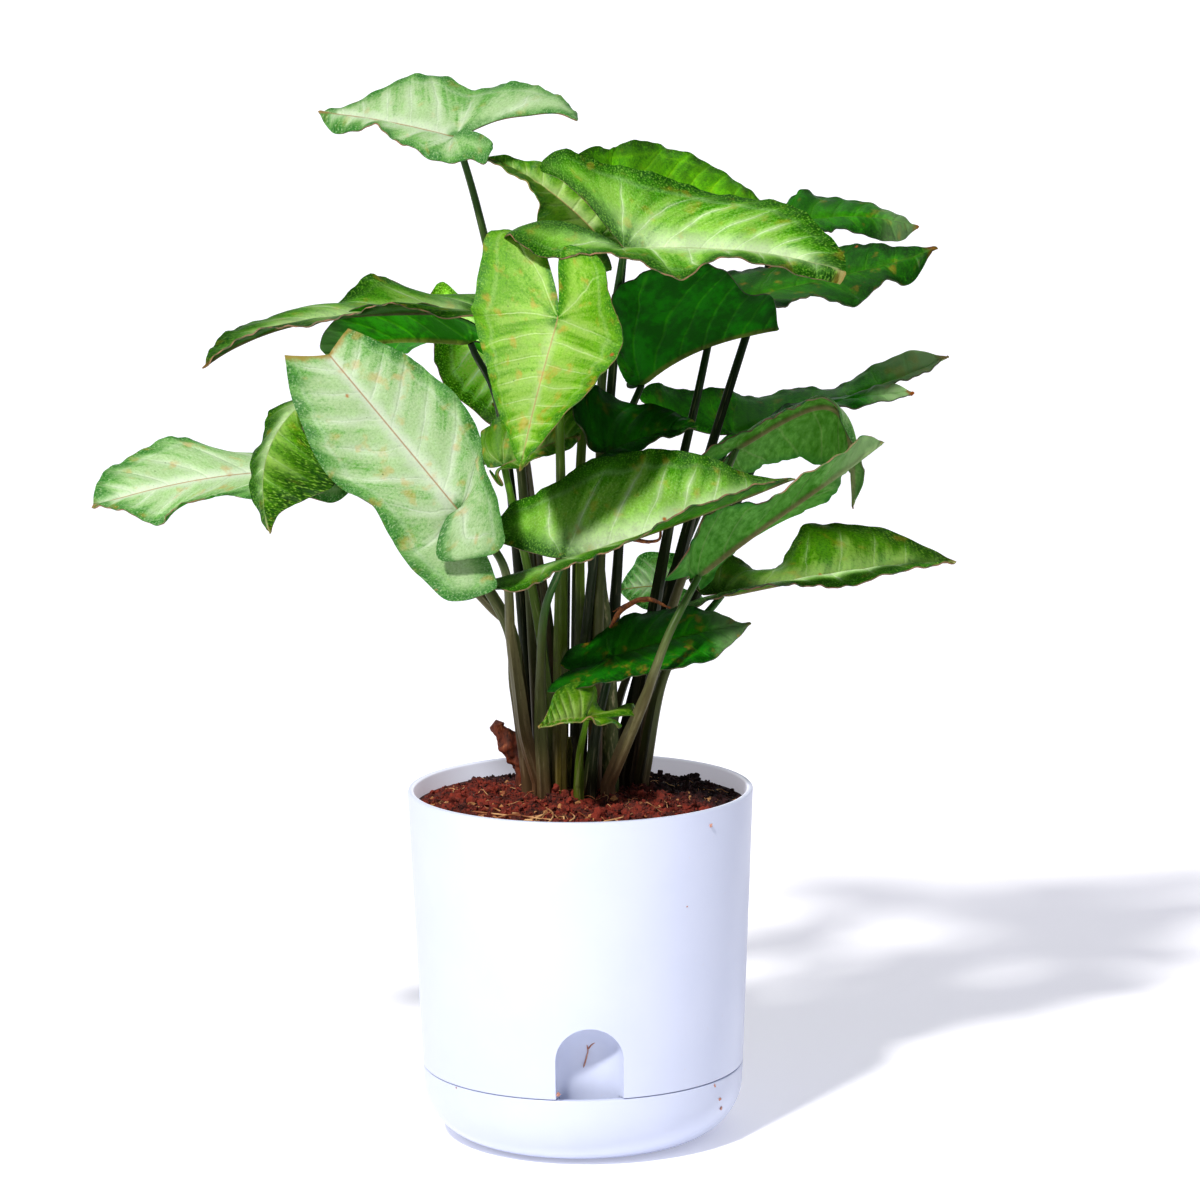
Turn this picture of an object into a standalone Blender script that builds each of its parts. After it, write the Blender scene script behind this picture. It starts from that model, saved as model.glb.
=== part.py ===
"""Arrowhead plant in its two-part self-watering pot.

Metres, +Z up, -Y to the front. The origin is the middle of the pot's foot, on the ground.
Lengths are written in millimetres, angles in degrees, and both are turned at the last step.
"""

import math

import bmesh
import bpy
import numpy as np

MM = 0.001
GAP = 0.3  # left between neighbouring pieces

# Pot: an upper planter that stands on the rim of a shallow water bowl.
POT_HEIGHT = 133.0
RIM_RADIUS = 65.0
SEAM_RADIUS = 60.8
SEAM_Z = 27.5
POT_WALL = 2.3
SKIRT_RADIUS = 57.4
PLANTER_FLOOR_Z = 20.0
FLOOR_THICK = 2.4
WICK_RADIUS = 16.0
WICK_Z = 5.0
BOWL_WALL = 2.4
FOOT_RADIUS = 38.5
BOWL_FILLET = 22.0
POT_STEPS = 40

# Inlet: a round-topped niche in the front, open at its foot into the water bowl.
NICHE_RADIUS = 12.7
NICHE_WALL = 2.0
NICHE_TOP_Z = 42.3  # where the dome starts
NICHE_TURN = 2.5
NICHE_CENTRE_RADIUS = 61.4

# Soil.
SOIL_EDGE_Z = 126.5
SOIL_MOUND = 5.5
STEM_IN_SOIL = 14.0
STEM_CLEAR = 0.5

# Leaves.
BLADE_THICK = 0.8
ACROSS = 3
LOBE_ROWS = 3
BLADE_ROWS = 7
STEM_RADIUS = 2.1
NECK_RADIUS = 1.3

# What a leaf has when its own line doesn't say otherwise. "base" is where the stem meets the
# blade, "tip" the far end, "foot" where the stem enters the soil and "via" what it bends through.
# Pairs are the left and the right half, seen along the tip with the upper side up. Folds are at
# the lobe's end, at the stem and at the tip.
PLAIN = {
    "roll": 0, "bank": 0, "rise": 15, "fall": -15, "bow": 0.33,
    "width": (30, 30), "belly": 0.3, "neck": 0.9,
    "lobe": (25, 25), "lobe_x": (0.5, 0.5), "lobe_w": (0.85, 0.85), "gap": (0.15, 0.15),
    "fold_l": (0, 10, 10), "fold_r": (0, 10, 10), "curl": (-10, -10), "curl_lobe": None,
    "lift": (0, 0), "wave": (1.5, 1.5), "waves": 2.0, "phase": (0, 90),
    "cut": 0, "via": (), "thick": 1.0, "skin": "silver",
}

LEAVES = {
    "leaf_top": {
        "base": (-43, 5, 377), "tip": (-96, 38, 385), "foot": (-9, 13), "roll": -20, "rise": 5,
        "fall": -5, "width": (17, 31), "belly": 0.15, "lobe": (24, 40), "lobe_x": (0.55, 0.8),
        "lobe_w": (1.1, 1.05), "gap": (0.2, 0.65), "fold_l": (8, 10, 10), "fold_r": (42, 24, 22),
        "curl": (-10, -20), "curl_lobe": (-10, -80), "wave": (3.5, 4), "waves": 1.5,
        "phase": (160, -75), "via": ((-21, 20, 266), (-27, 22, 307), (-36, 13, 350)),
    },
    "leaf_young_curled": {
        "base": (9, 15, 339), "tip": (-34, 25, 368), "foot": (-2, 14), "roll": -35, "rise": 22,
        "fall": -28, "width": (11, 7), "lobe": (12, 14), "fold_l": (-10, 0, 50),
        "fold_r": (20, 20, 10), "via": ((1, 15, 248),), "skin": "young",
    },
    "leaf_upper_right": {
        "base": (18, -34, 339), "tip": (97, -59, 332), "foot": (6, -6), "roll": 15, "rise": 8,
        "fall": -14, "width": (34, 27), "belly": 0.25, "lobe": (38, 46), "fold_l": (62, 42, 25),
        "fold_r": (30, 8, 8), "curl": (-15, -10), "lift": (0, 8), "wave": (1, 3),
        "via": ((8, -5, 220), (9, 7, 267), (10, 3, 290), (15, -18, 319)),
    },
    "leaf_centre": {
        "base": (-6, -54, 316), "tip": (-20, -72, 263), "foot": (-7, -9), "rise": 5, "fall": -10,
        "width": (30, 34), "belly": 0.05, "neck": 0.95, "lobe": (22, 32), "lobe_x": (0.6, 0.6),
        "lobe_w": (0.92, 0.92), "fold_l": (5, 5, 10), "fold_r": (5, 5, 10), "lift": (-20, -25),
        "via": ((-6, -9, 206), (-6, -22, 268), (-6, -34, 295)), "skin": "young",
    },
    "leaf_left_front": {
        "base": (-42, -62, 247), "tip": (-91, -45, 305), "foot": (-16, -6), "roll": -62, "rise": 3,
        "fall": -3, "width": (28, 27), "belly": 0.42, "neck": 0.8, "lobe": (31, 26),
        "lobe_x": (0.45, 0.5), "lobe_w": (0.9, 1.2), "fold_l": (0, 0, 0), "fold_r": (40, 10, 5),
        "curl_lobe": (-10, 210), "cut": 0.45,
        "via": ((-21, -9, 155), (-23, -15, 173), (-25, -26, 195), (-27, -46, 225)),
    },
    "leaf_far_left": {
        "base": (-95, 0, 254), "tip": (-179, -20, 244), "foot": (-20, 6), "roll": -35,
        "width": (20, 22), "belly": 0.55, "lobe": (22, 24), "fold_l": (0, 0, 0),
        "fold_r": (25, 0, 0), "wave": (4, 3), "waves": 2.15, "phase": (103, 50),
        "via": ((-25, 5, 188), (-34, 3, 203), (-66, 0, 235)),
    },
    "leaf_left_hanging": {
        "base": (-93, -28, 287), "tip": (-112, -36, 236), "foot": (-20, 0), "roll": 18, "rise": 20,
        "fall": -10, "width": (12, 12), "lobe": (15, 15),
        "via": ((-24, -4, 171), (-29, -10, 202), (-65, -22, 257)),
    },
    "leaf_left_long": {
        "base": (-34, -8, 314), "tip": (-136, -30, 296), "foot": (-15, 10), "rise": 12, "fall": -30,
        "width": (16, 24), "belly": 0.35, "lobe": (16, 12), "fold_l": (10, -5, 5),
        "fold_r": (10, 10, 5), "curl": (-10, -30), "wave": (3, 9), "waves": 1.5, "phase": (80, -80),
        "via": ((-22, 12, 263),),
    },
    "leaf_left_shaded": {
        "base": (-39, -1, 302), "tip": (-91, -10, 297), "foot": (-17, 16), "roll": 20, "rise": 12,
        "fall": -25, "width": (17, 22), "lobe": (11, 10), "via": ((-27, 14, 263),), "skin": "deep",
    },
    "leaf_behind_centre": {
        "base": (-32, 46, 299), "tip": (-24, 38, 258), "foot": (-8, 20), "width": (25, 30),
        "lobe": (22, 24),
    },
    "leaf_young_low": {
        "base": (-27, -12, 257), "tip": (1, -3, 267), "foot": (-9, -3), "roll": 50,
        "width": (24, 8), "lobe": (20, 8), "skin": "young",
    },
    "leaf_shaded_middle": {
        "base": (11, -16, 262), "tip": (45, -8, 270), "foot": (0, -3), "roll": 25, "width": (24, 7),
        "lobe": (20, 12), "fold_l": (40, 15, 10), "skin": "deep",
    },
    "leaf_front_right": {
        "base": (-5, -45, 227), "tip": (79, -55, 257), "foot": (-13, -12), "roll": 38, "rise": -5,
        "fall": 0, "width": (36, 24), "belly": 0.2, "lobe": (24, 34), "fold_l": (15, 20, 15),
        "fold_r": (25, 35, 25), "lift": (0, 20), "wave": (1, 2),
        "via": ((-14, -15, 160), (-14, -24, 185), (-12, -36, 207)),
    },
    "leaf_low_right": {
        "base": (54, 12, 204), "tip": (143, 20, 214), "foot": (24, 8), "roll": 25, "rise": 5,
        "fall": -10, "width": (27, 14), "belly": 0.5, "lobe": (20, 18), "fold_l": (15, 28, 12),
        "fold_r": (25, 35, 20), "wave": (6, 1), "waves": 1.8, "phase": (130, 0),
        "via": ((33, 10, 176),),
    },
    "leaf_right_folded": {
        "base": (44, -37, 219), "tip": (113, -25, 266), "foot": (11, -13), "roll": -50, "rise": 5,
        "fall": 0, "width": (20, 23), "belly": 0.2, "lobe": (16, 18),
        "via": ((23, -31, 169), (28, -46, 186), (34, -46, 201)),
    },
    "leaf_right_arching": {
        "base": (60, 30, 257), "tip": (105, 46, 231), "foot": (20, 14), "bank": -50, "rise": 57,
        "fall": -63, "bow": 0.87, "width": (20, 16), "lobe": (18, 18), "via": ((36, 28, 198),),
    },
    "leaf_right_dark": {
        "base": (60, 80, 256), "tip": (146, 100, 283), "foot": (14, 21), "roll": 10, "rise": -5,
        "fall": 5, "width": (20, 14), "lobe": (36, 16), "fold_l": (60, 18, 10),
        "via": ((33, 44, 198),), "skin": "deep",
    },
    "leaf_right_narrow": {
        "base": (74, 60, 261), "tip": (129, 58, 274), "foot": (17, 28), "roll": 10,
        "width": (10, 10), "lobe": (10, 10), "via": ((46, 42, 201),), "skin": "deep",
    },
    "leaf_back_top": {
        "base": (20, 35, 349), "tip": (76, 55, 344), "foot": (5, 20), "roll": 35, "rise": 10,
        "fall": -20, "width": (28, 16), "lobe": (26, 20), "fold_l": (30, 10, 10), "skin": "deep",
    },
    "leaf_back_right": {
        "base": (79, 70, 338), "tip": (133, 88, 335), "foot": (21, 21), "roll": 20, "fall": -20,
        "width": (18, 12), "lobe": (16, 16), "via": ((43, 38, 229),), "skin": "deep",
    },
    "leaf_shaded_right": {
        "base": (53, 30, 312), "tip": (138, 52, 330), "foot": (18, 7), "roll": 10, "rise": 0,
        "fall": 5, "width": (24, 24), "lobe": (20, 20), "fold_r": (-5, -5, -20), "wave": (1, 3),
        "waves": 2.5, "via": ((35, 14, 233), (46, 20, 281)), "skin": "deep",
    },
    "leaf_funnel": {
        "base": (24, 3, 285), "tip": (75, -9, 306), "foot": (10, 9), "roll": -40, "rise": 30,
        "fall": -20, "width": (20, 45), "belly": 0.5, "lobe": (14, 18), "fold_l": (60, 60, 40),
        "fold_r": (0, 0, 0), "lift": (90, 90), "via": ((15, 10, 218), (19, 10, 267)),
        "skin": "deep",
    },
    "leaf_low_dark": {
        "base": (13, -23, 187), "tip": (64, -21, 198), "foot": (4, -12), "roll": 25, "rise": 5,
        "fall": -10, "width": (18, 20), "belly": 0.4, "lobe": (22, 26), "skin": "deep",
    },
    "leaf_small_low": {
        "base": (3, -40, 167), "tip": (-15, -52, 166), "foot": (-1, -18), "roll": -25,
        "width": (12, 13), "lobe": (12, 20), "lift": (0, 30), "thick": 0.75, "skin": "young",
    },
    "leaf_back_low": {
        "base": (36, 52, 201), "tip": (15, 60, 198), "foot": (9, 27), "roll": -60,
        "width": (10, 14), "lobe": (12, 12), "thick": 0.8,
    },
}

# Bare stems: the points that each runs through and its radius at each.
BARE_STEMS = {
    "stem_thick": (((11, 2, 0), (11, 2, 160), (9, 2, 195), (5, 2, 232)), (3.6, 3.5, 3.5, 2.6)),
    "stem_stump": (((-4, 5, 0), (-5, 4, 140), (-6, 3, 152)), (3.0, 3.0, 2.8)),
}
THICK_STEM_NODE = (9.4, 2, 188)

CHIP_FOOT = (-27, 8, 118)
CHIP_TOP = (-30, 9, 151)

COLOURS = {
    "silver": ((0.36, 0.58, 0.30), 0.45),
    "young": ((0.38, 0.62, 0.10), 0.42),
    "deep": ((0.06, 0.22, 0.04), 0.45),
    "stem": ((0.16, 0.20, 0.09), 0.5),
    "white_plastic": ((0.86, 0.86, 0.88), 0.3),
    "cocopeat": ((0.13, 0.045, 0.025), 0.95),
    "bark": ((0.18, 0.07, 0.04), 0.9),
}


def clear_scene():
    for obj in list(bpy.data.objects):
        bpy.data.objects.remove(obj)


def collection_named(name, hidden):
    found = bpy.data.collections.new(name)
    bpy.context.scene.collection.children.link(found)
    found.hide_render = hidden
    return found


def material_named(name, finish):
    colour, roughness = COLOURS[finish]
    made = bpy.data.materials.new(name)
    made.use_nodes = True
    shader = made.node_tree.nodes["Principled BSDF"]
    shader.inputs["Base Color"].default_value = (*colour, 1)
    shader.inputs["Roughness"].default_value = roughness
    shader.inputs["Metallic"].default_value = 0
    made.diffuse_color = (*colour, 1)
    return made


def object_of(mesh, name, collection):
    obj = bpy.data.objects.new(name, mesh)
    collection.objects.link(obj)
    return obj


def settle(obj):
    """Gives the object the mesh that its modifiers make, and drops the modifiers."""
    graph = bpy.context.evaluated_depsgraph_get()
    mesh = bpy.data.meshes.new_from_object(obj.evaluated_get(graph))
    mesh.name = obj.name
    obj.modifiers.clear()
    obj.data = mesh


def boolean(obj, other, operation, solver="EXACT"):
    """Cuts or joins another object, which is then removed."""
    step = obj.modifiers.new(operation, "BOOLEAN")
    step.operation = operation
    step.object = other
    step.solver = solver
    bpy.context.view_layer.update()
    settle(obj)
    bpy.data.objects.remove(other)


def weld(mesh, distance):
    bm = bmesh.new()
    bm.from_mesh(mesh)
    bmesh.ops.remove_doubles(bm, verts=bm.verts, dist=distance * MM)
    bmesh.ops.recalc_face_normals(bm, faces=bm.faces)
    bm.to_mesh(mesh)
    bm.free()


def lathe(name, profile, collection, steps=POT_STEPS):
    """A turned solid. The profile runs outer side first, from the top down, and closes itself."""
    bm = bmesh.new()
    verts = [bm.verts.new((r * MM, 0, z * MM)) for r, z in profile]
    for first, second in zip(verts, verts[1:]):
        bm.edges.new((first, second))
    if profile[0][0] > 0:
        bm.edges.new((verts[-1], verts[0]))
    mesh = bpy.data.meshes.new(name)
    bm.to_mesh(mesh)
    bm.free()
    obj = object_of(mesh, name, collection)
    turn_it = obj.modifiers.new("Screw", "SCREW")
    turn_it.axis = "Z"
    turn_it.angle = 2 * math.pi
    turn_it.steps = steps
    turn_it.render_steps = steps
    turn_it.use_merge_vertices = True
    turn_it.merge_threshold = 0.00001
    turn_it.use_smooth_shade = False
    settle(obj)
    weld(obj.data, 0.01)
    return obj


def capsule(name, radius, foot_z, collection):
    """The niche's solid: an upright round bar with a domed top, in the front wall."""
    turn = math.radians(NICHE_TURN)
    steps = 6
    dome = []
    for k in range(steps + 1):
        a = math.pi / 2 * (1 - k / steps)
        dome.append((radius * math.cos(a), NICHE_TOP_Z + radius * math.sin(a)))
    dome[0] = (0, NICHE_TOP_Z + radius)
    obj = lathe(name, dome + [(radius, foot_z), (0, foot_z)], collection, 32)
    obj.location.x = NICHE_CENTRE_RADIUS * math.sin(turn) * MM
    obj.location.y = -NICHE_CENTRE_RADIUS * math.cos(turn) * MM
    obj.display_type = "WIRE"
    bpy.context.view_layer.update()
    return obj


def outer_radius(z):
    """The planter's outside at a height."""
    return SEAM_RADIUS + (RIM_RADIUS - SEAM_RADIUS) * (z - SEAM_Z) / (POT_HEIGHT - SEAM_Z)


def inner_radius(z):
    return outer_radius(z) - POT_WALL


def make_planter(parts, cutters):
    step_z = SEAM_Z + GAP
    floor_top = PLANTER_FLOOR_Z + FLOOR_THICK
    profile = [
        (RIM_RADIUS - 0.7, POT_HEIGHT),
        (RIM_RADIUS, POT_HEIGHT - 0.8),
        (outer_radius(step_z), step_z),
        (SKIRT_RADIUS, step_z),
        (SKIRT_RADIUS - 0.3, PLANTER_FLOOR_Z + 1),
        (SKIRT_RADIUS - 1.3, PLANTER_FLOOR_Z),
        (WICK_RADIUS + 1.5, PLANTER_FLOOR_Z),
        (WICK_RADIUS, WICK_Z),
        (0, WICK_Z),
        (0, WICK_Z + FLOOR_THICK),
        (WICK_RADIUS - POT_WALL, WICK_Z + FLOOR_THICK),
        (WICK_RADIUS + 1.5 - POT_WALL, floor_top),
        (SKIRT_RADIUS - POT_WALL - 0.6, floor_top),
        (inner_radius(step_z + 3) - 0.2, step_z + 4),
        (inner_radius(POT_HEIGHT), POT_HEIGHT - 1.2),
        (inner_radius(POT_HEIGHT) + 0.8, POT_HEIGHT),
    ]
    planter = lathe("planter", profile, parts)
    bulge = capsule("bulge", NICHE_RADIUS + NICHE_WALL, PLANTER_FLOOR_Z, cutters)
    inside = lathe(
        "inside",
        [
            (0, 80),
            (outer_radius(80) - 1, 80),
            (outer_radius(step_z + 0.2) - 1, step_z + 0.2),
            (SKIRT_RADIUS - 1.5, step_z),
            (SKIRT_RADIUS - 1.5, PLANTER_FLOOR_Z),
            (0, PLANTER_FLOOR_Z),
        ],
        cutters,
    )
    boolean(bulge, inside, "INTERSECT")
    boolean(planter, bulge, "UNION")
    boolean(planter, capsule("niche", NICHE_RADIUS, 10, cutters), "DIFFERENCE")
    return planter


def make_bowl(parts):
    steps = 6
    outer = []
    inner = []
    for k in range(steps + 1):
        a = math.pi / 2 * k / steps
        outer.append((
            FOOT_RADIUS + BOWL_FILLET * math.cos(a),
            BOWL_FILLET - BOWL_FILLET * math.sin(a),
        ))
        small = BOWL_FILLET - BOWL_WALL
        inner.append((FOOT_RADIUS + small * math.cos(a), BOWL_FILLET - small * math.sin(a)))
    profile = [(SEAM_RADIUS, SEAM_Z)] + outer + [(0, 0), (0, BOWL_WALL)]
    profile += inner[::-1] + [(SEAM_RADIUS - BOWL_WALL, SEAM_Z)]
    return lathe("water_bowl", profile, parts)


def soil_top(x, y):
    """Height of the soil's crumbly top."""
    r = math.hypot(x, y)
    mound = SOIL_MOUND * math.cos(min(1, r / 58) * math.pi / 2)
    lumps = 1.1 * math.sin(0.31 * x + 1.3) * math.cos(0.27 * y - 0.4)
    lumps += 0.7 * math.sin(0.55 * x - 0.38 * y + 2.1)
    return SOIL_EDGE_Z + mound + lumps * min(1, (60 - r) / 25)


def soil_body(parts):
    """The filling under its relief: rings of the top, then the planter's inside with a gap."""
    radii = (8, 17, 26, 35, 44, 53)
    top_radius = inner_radius(SOIL_EDGE_Z) - GAP
    floor_top = PLANTER_FLOOR_Z + FLOOR_THICK + GAP
    plug = WICK_RADIUS - POT_WALL - GAP
    profile = [(0, 0)] + [(r, 0) for r in radii] + [
        (top_radius, 0),
        (inner_radius(34) - GAP - 0.3, 34),
        (SKIRT_RADIUS - POT_WALL - 0.9, floor_top),
        (plug + 1.2, floor_top),
        (plug, WICK_Z + FLOOR_THICK + GAP),
        (0, WICK_Z + FLOOR_THICK + GAP),
    ]
    soil = lathe("soil", profile, parts)
    for vert in soil.data.vertices:
        x, y, z = vert.co / MM
        if z < 1:
            vert.co.z = soil_top(x, y) * MM
    weld(soil.data, 0.01)
    return soil


def tube(name, points, radii, collection, sides=6):
    """A round bar through the points, with a radius at each, as a closed mesh."""
    curve = bpy.data.curves.new(name, "CURVE")
    curve.dimensions = "3D"
    curve.bevel_depth = MM
    curve.bevel_resolution = (sides - 4) // 2
    curve.use_fill_caps = True
    spline = curve.splines.new("POLY")
    spline.points.add(len(points) - 1)
    for point, place, radius in zip(spline.points, points, radii):
        point.co = (place[0] * MM, place[1] * MM, place[2] * MM, 1)
        point.radius = radius
    drawn = object_of(curve, name + "_curve", collection)
    bpy.context.view_layer.update()
    graph = bpy.context.evaluated_depsgraph_get()
    mesh = bpy.data.meshes.new_from_object(drawn.evaluated_get(graph))
    bpy.data.objects.remove(drawn)
    weld(mesh, 0.01)
    return object_of(mesh, name, collection)


def unit(v):
    return v / np.linalg.norm(v)


def turned(v, axis, degrees):
    """The vector turned about the axis."""
    a = math.radians(degrees)
    axis = unit(axis)
    across = np.cross(axis, v)
    return v * math.cos(a) + across * math.sin(a) + axis * np.dot(axis, v) * (1 - math.cos(a))


def smooth_through(points, steps):
    """Points of a smooth curve through the given ones, with a number of steps to each span."""
    p = np.array(points, float)
    p = np.vstack([2 * p[0] - p[1], p, 2 * p[-1] - p[-2]])
    out = []
    for i in range(1, len(p) - 2):
        a, b, c, d = p[i - 1:i + 3]
        for k in range(steps):
            t = k / steps
            square = (2 * a - 5 * b + 4 * c - d) * t * t
            cube = (3 * b - a - 3 * c + d) * t ** 3
            out.append(0.5 * (2 * b + (c - a) * t + square + cube))
    out.append(p[-2])
    return np.array(out)


def at_shares(curve, shares):
    """Points of the curve at shares of its own length, from 0 to 1."""
    step = np.linalg.norm(np.diff(curve, axis=0), axis=1)
    run = np.concatenate([[0], np.cumsum(step)]) / step.sum()
    return np.stack([np.interp(shares, run, column) for column in curve.T], -1)


def midrib(leaf):
    """The blade's spine: its run, and its points, directions and upward normals."""
    base = np.array(leaf["base"], float)
    tip = np.array(leaf["tip"], float)
    span = np.linalg.norm(tip - base)
    chord = (tip - base) / span
    up = np.array([0, 0, 1.0])
    normal = turned(unit(up - chord * chord[2]), chord, leaf["roll"])
    side = np.cross(normal, chord)
    first = base + turned(chord, side, -leaf["rise"]) * span * leaf["bow"]
    last = tip - turned(chord, side, -leaf["fall"]) * span * leaf["bow"]
    t = np.linspace(0, 1, 61)[:, None]
    points = (1 - t) ** 3 * base + 3 * (1 - t) ** 2 * t * first
    points = points + 3 * (1 - t) * t ** 2 * last + t ** 3 * tip
    step = np.linalg.norm(np.diff(points, axis=0), axis=1)
    run = np.concatenate([[0], np.cumsum(step)])
    along = np.gradient(points, axis=0)
    along = along / np.linalg.norm(along, axis=1)[:, None]
    normals = []
    for direction in along:
        normal = unit(normal - direction * np.dot(normal, direction))
        normals.append(turned(normal, direction, leaf["bank"]))
    return run, points, along, np.array(normals)


def flat_outline(leaf, half, length):
    """Flat curves of one half: the margin from the lobe's end to the tip, and the sinus edge."""
    w = leaf["width"][half]
    lobe = leaf["lobe"][half]
    gap = leaf["gap"][half] * w
    end = leaf["lobe_x"][half] * w
    broad = leaf["lobe_w"][half] * w
    belly = leaf["belly"]
    neck = leaf["neck"] * w
    rest = 1 - belly
    sinus = [(0, 0), (0.6 * gap, -0.28 * lobe), (0.5 * (gap + end), -0.75 * lobe), (end, -lobe)]
    margin = [
        (broad, -0.72 * lobe),
        (0.5 * (broad + neck), -0.3 * lobe),
        (neck, 0.06 * length),
        (w, belly * length),
    ]
    if leaf["cut"]:
        torn = leaf["cut"]
        margin += [
            (0.95 * w, (belly + rest * 0.35) * length),
            (0.5 * (0.8 + torn) * w, (belly + rest * 0.75) * length),
            (torn * w, length),
        ]
    else:
        margin += [
            (0.9 * w, (belly + rest * 0.3) * length),
            (0.62 * w, (belly + rest * 0.58) * length),
            (0.26 * w, (belly + rest * 0.82) * length),
            (0.07 * w, (belly + rest * 0.94) * length),
            (0, length),
        ]
    steps = 8
    whole = smooth_through(sinus + margin, steps)
    turn = (len(sinus) - 1) * steps
    return whole[turn:], whole[:turn + 1][::-1], 3 * steps


def flat_rows(leaf, half, length, shares):
    """For each row, the flat points at the spine or sinus edge and at the margin."""
    margin, sinus, neck = flat_outline(leaf, half, length)
    lobe = shares[:LOBE_ROWS + 1] / shares[LOBE_ROWS]
    blade = (shares[LOBE_ROWS + 1:] - shares[LOBE_ROWS]) / (1 - shares[LOBE_ROWS])
    end = 0.96 * length if leaf["cut"] else length
    spine = np.stack([0 * blade, blade * end], -1)
    inside = np.vstack([at_shares(sinus, lobe), spine])
    edge = at_shares(margin[neck:], blade ** 0.85)
    outside = np.vstack([at_shares(margin[:neck + 1], lobe), edge])
    return inside, outside


def bent(leaf, half, spine, x, y):
    """Where the flat points of one half lie once the blade is bent, folded and waved."""
    run, points, along, normals = spine
    sign = 1 if half == 0 else -1
    w = leaf["width"][half]
    lobe = leaf["lobe"][half]
    fold = leaf["fold_l"] if half == 0 else leaf["fold_r"]
    inside = np.clip(y, 0, run[-1])
    centre = np.stack([np.interp(inside, run, c) for c in points.T], -1)
    normal = np.stack([np.interp(inside, run, c) for c in normals.T], -1)
    direction = np.stack([np.interp(inside, run, c) for c in along.T], -1)
    side = np.cross(normal, direction)
    back = np.clip(-y, 0, None)
    rate = math.radians(leaf["lift"][half]) / lobe + 1e-9
    lift = (rate * back)[:, None]
    centre = centre - along[0] * np.sin(lift) / rate + normals[0] * (1 - np.cos(lift)) / rate
    lifted = normals[0] * np.cos(lift) + along[0] * np.sin(lift)
    normal = np.where((y < 0)[:, None], lifted, normal)
    share = np.clip(back / lobe, 0, 1)
    share = share * share * (3 - 2 * share)
    to_tip = fold[1] + (fold[2] - fold[1]) * inside / run[-1]
    angle = np.radians(np.where(y < 0, fold[1] + (fold[0] - fold[1]) * share, to_tip))
    end_curl = leaf["curl_lobe"] or leaf["curl"]
    curl = np.radians(leaf["curl"][half] + (end_curl[half] - leaf["curl"][half]) * share)
    out = np.zeros_like(x)
    rise = np.zeros_like(x)
    for k in range(12):
        a = (k + 0.5) / 12 * x / w
        out = out + np.cos(angle + curl * a * a) * x / 12
        rise = rise + np.sin(angle + curl * a * a) * x / 12
    turns = 2 * math.pi * leaf["waves"] * y / run[-1] + math.radians(leaf["phase"][half])
    rise = rise + leaf["wave"][half] * (x / w) ** 2 * np.sin(turns)
    return centre + side * (sign * out)[:, None] + normal * rise[:, None]


def add_half(bm, leaf, half, spine):
    """One half of the blade as a grid, its rows running from the lobe's end to the tip."""
    rows = LOBE_ROWS + BLADE_ROWS
    made = bmesh.ops.create_grid(bm, x_segments=ACROSS, y_segments=rows, size=1)["verts"]
    shares = np.arange(rows + 1) / rows
    inside, outside = flat_rows(leaf, half, spine[0][-1], shares)
    co = np.array([vert.co for vert in made])
    row = np.rint((co[:, 1] + 1) / 2 * rows).astype(int)
    u = ((co[:, 0] + 1) / 2)[:, None]
    flat = inside[row] * (1 - u) + outside[row] * u
    placed = bent(leaf, half, spine, flat[:, 0], flat[:, 1])
    for vert, place in zip(made, placed):
        vert.co = place * MM
    if half == 0:
        faces = {face for vert in made for face in vert.link_faces}
        bmesh.ops.reverse_faces(bm, faces=list(faces))


def blade_mesh(name, leaf, spine):
    """Both halves sewn along the spine and split into triangles."""
    bm = bmesh.new()
    add_half(bm, leaf, 0, spine)
    add_half(bm, leaf, 1, spine)
    bmesh.ops.remove_doubles(bm, verts=bm.verts, dist=0.02 * MM)
    bmesh.ops.dissolve_degenerate(bm, edges=bm.edges, dist=0.01 * MM)
    bmesh.ops.triangulate(bm, faces=bm.faces, quad_method="FIXED", ngon_method="EAR_CLIP")
    mesh = bpy.data.meshes.new(name)
    bm.to_mesh(mesh)
    bm.free()
    return mesh


def stem_path(leaf, spine):
    """Centre line of the leaf's stem: straight up out of the soil, then bending to the blade."""
    x, y = leaf["foot"]
    ground = soil_top(x, y)
    under = np.array(leaf["base"], float) - spine[3][0] * 0.4
    start = np.array([x, y, ground + 4])
    middle = leaf["via"]
    if not middle:
        middle = (start + (under - start) * np.array([0.32, 0.32, 0.5]),)
    points = smooth_through([start, *[np.array(p, float) for p in middle], under], 3)
    return np.vstack([[x, y, ground - STEM_IN_SOIL], points])


def make_leaf(name, leaf, parts, cutters):
    spine = midrib(leaf)
    obj = object_of(blade_mesh(name, leaf, spine), name, parts)
    thick = obj.modifiers.new("Solidify", "SOLIDIFY")
    thick.thickness = BLADE_THICK * MM
    thick.offset = 0
    settle(obj)
    path = stem_path(leaf, spine)
    shares = np.linspace(0, 1, len(path))
    radii = (STEM_RADIUS + (NECK_RADIUS - STEM_RADIUS) * shares) * leaf["thick"]
    stem = tube(name + "_stem", path, radii, cutters)
    boolean(obj, stem, "UNION", "MANIFOLD")
    return obj


def stem_bores(cutters):
    """One plain round hole for each stem that stands in the soil."""
    bores = []
    feet = [(name, leaf["foot"], STEM_RADIUS * leaf["thick"]) for name, leaf in FULL.items()]
    for name, (points, radii) in BARE_STEMS.items():
        feet.append((name, points[0][:2], radii[0]))
    for name, (x, y), radius in feet:
        ground = soil_top(x, y)
        ends = ((x, y, ground - STEM_IN_SOIL - 1), (x, y, ground + 8))
        size = radius + STEM_CLEAR
        bores.append(tube("bore_" + name, ends, (size, size), cutters, 10))
    return bores


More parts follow.
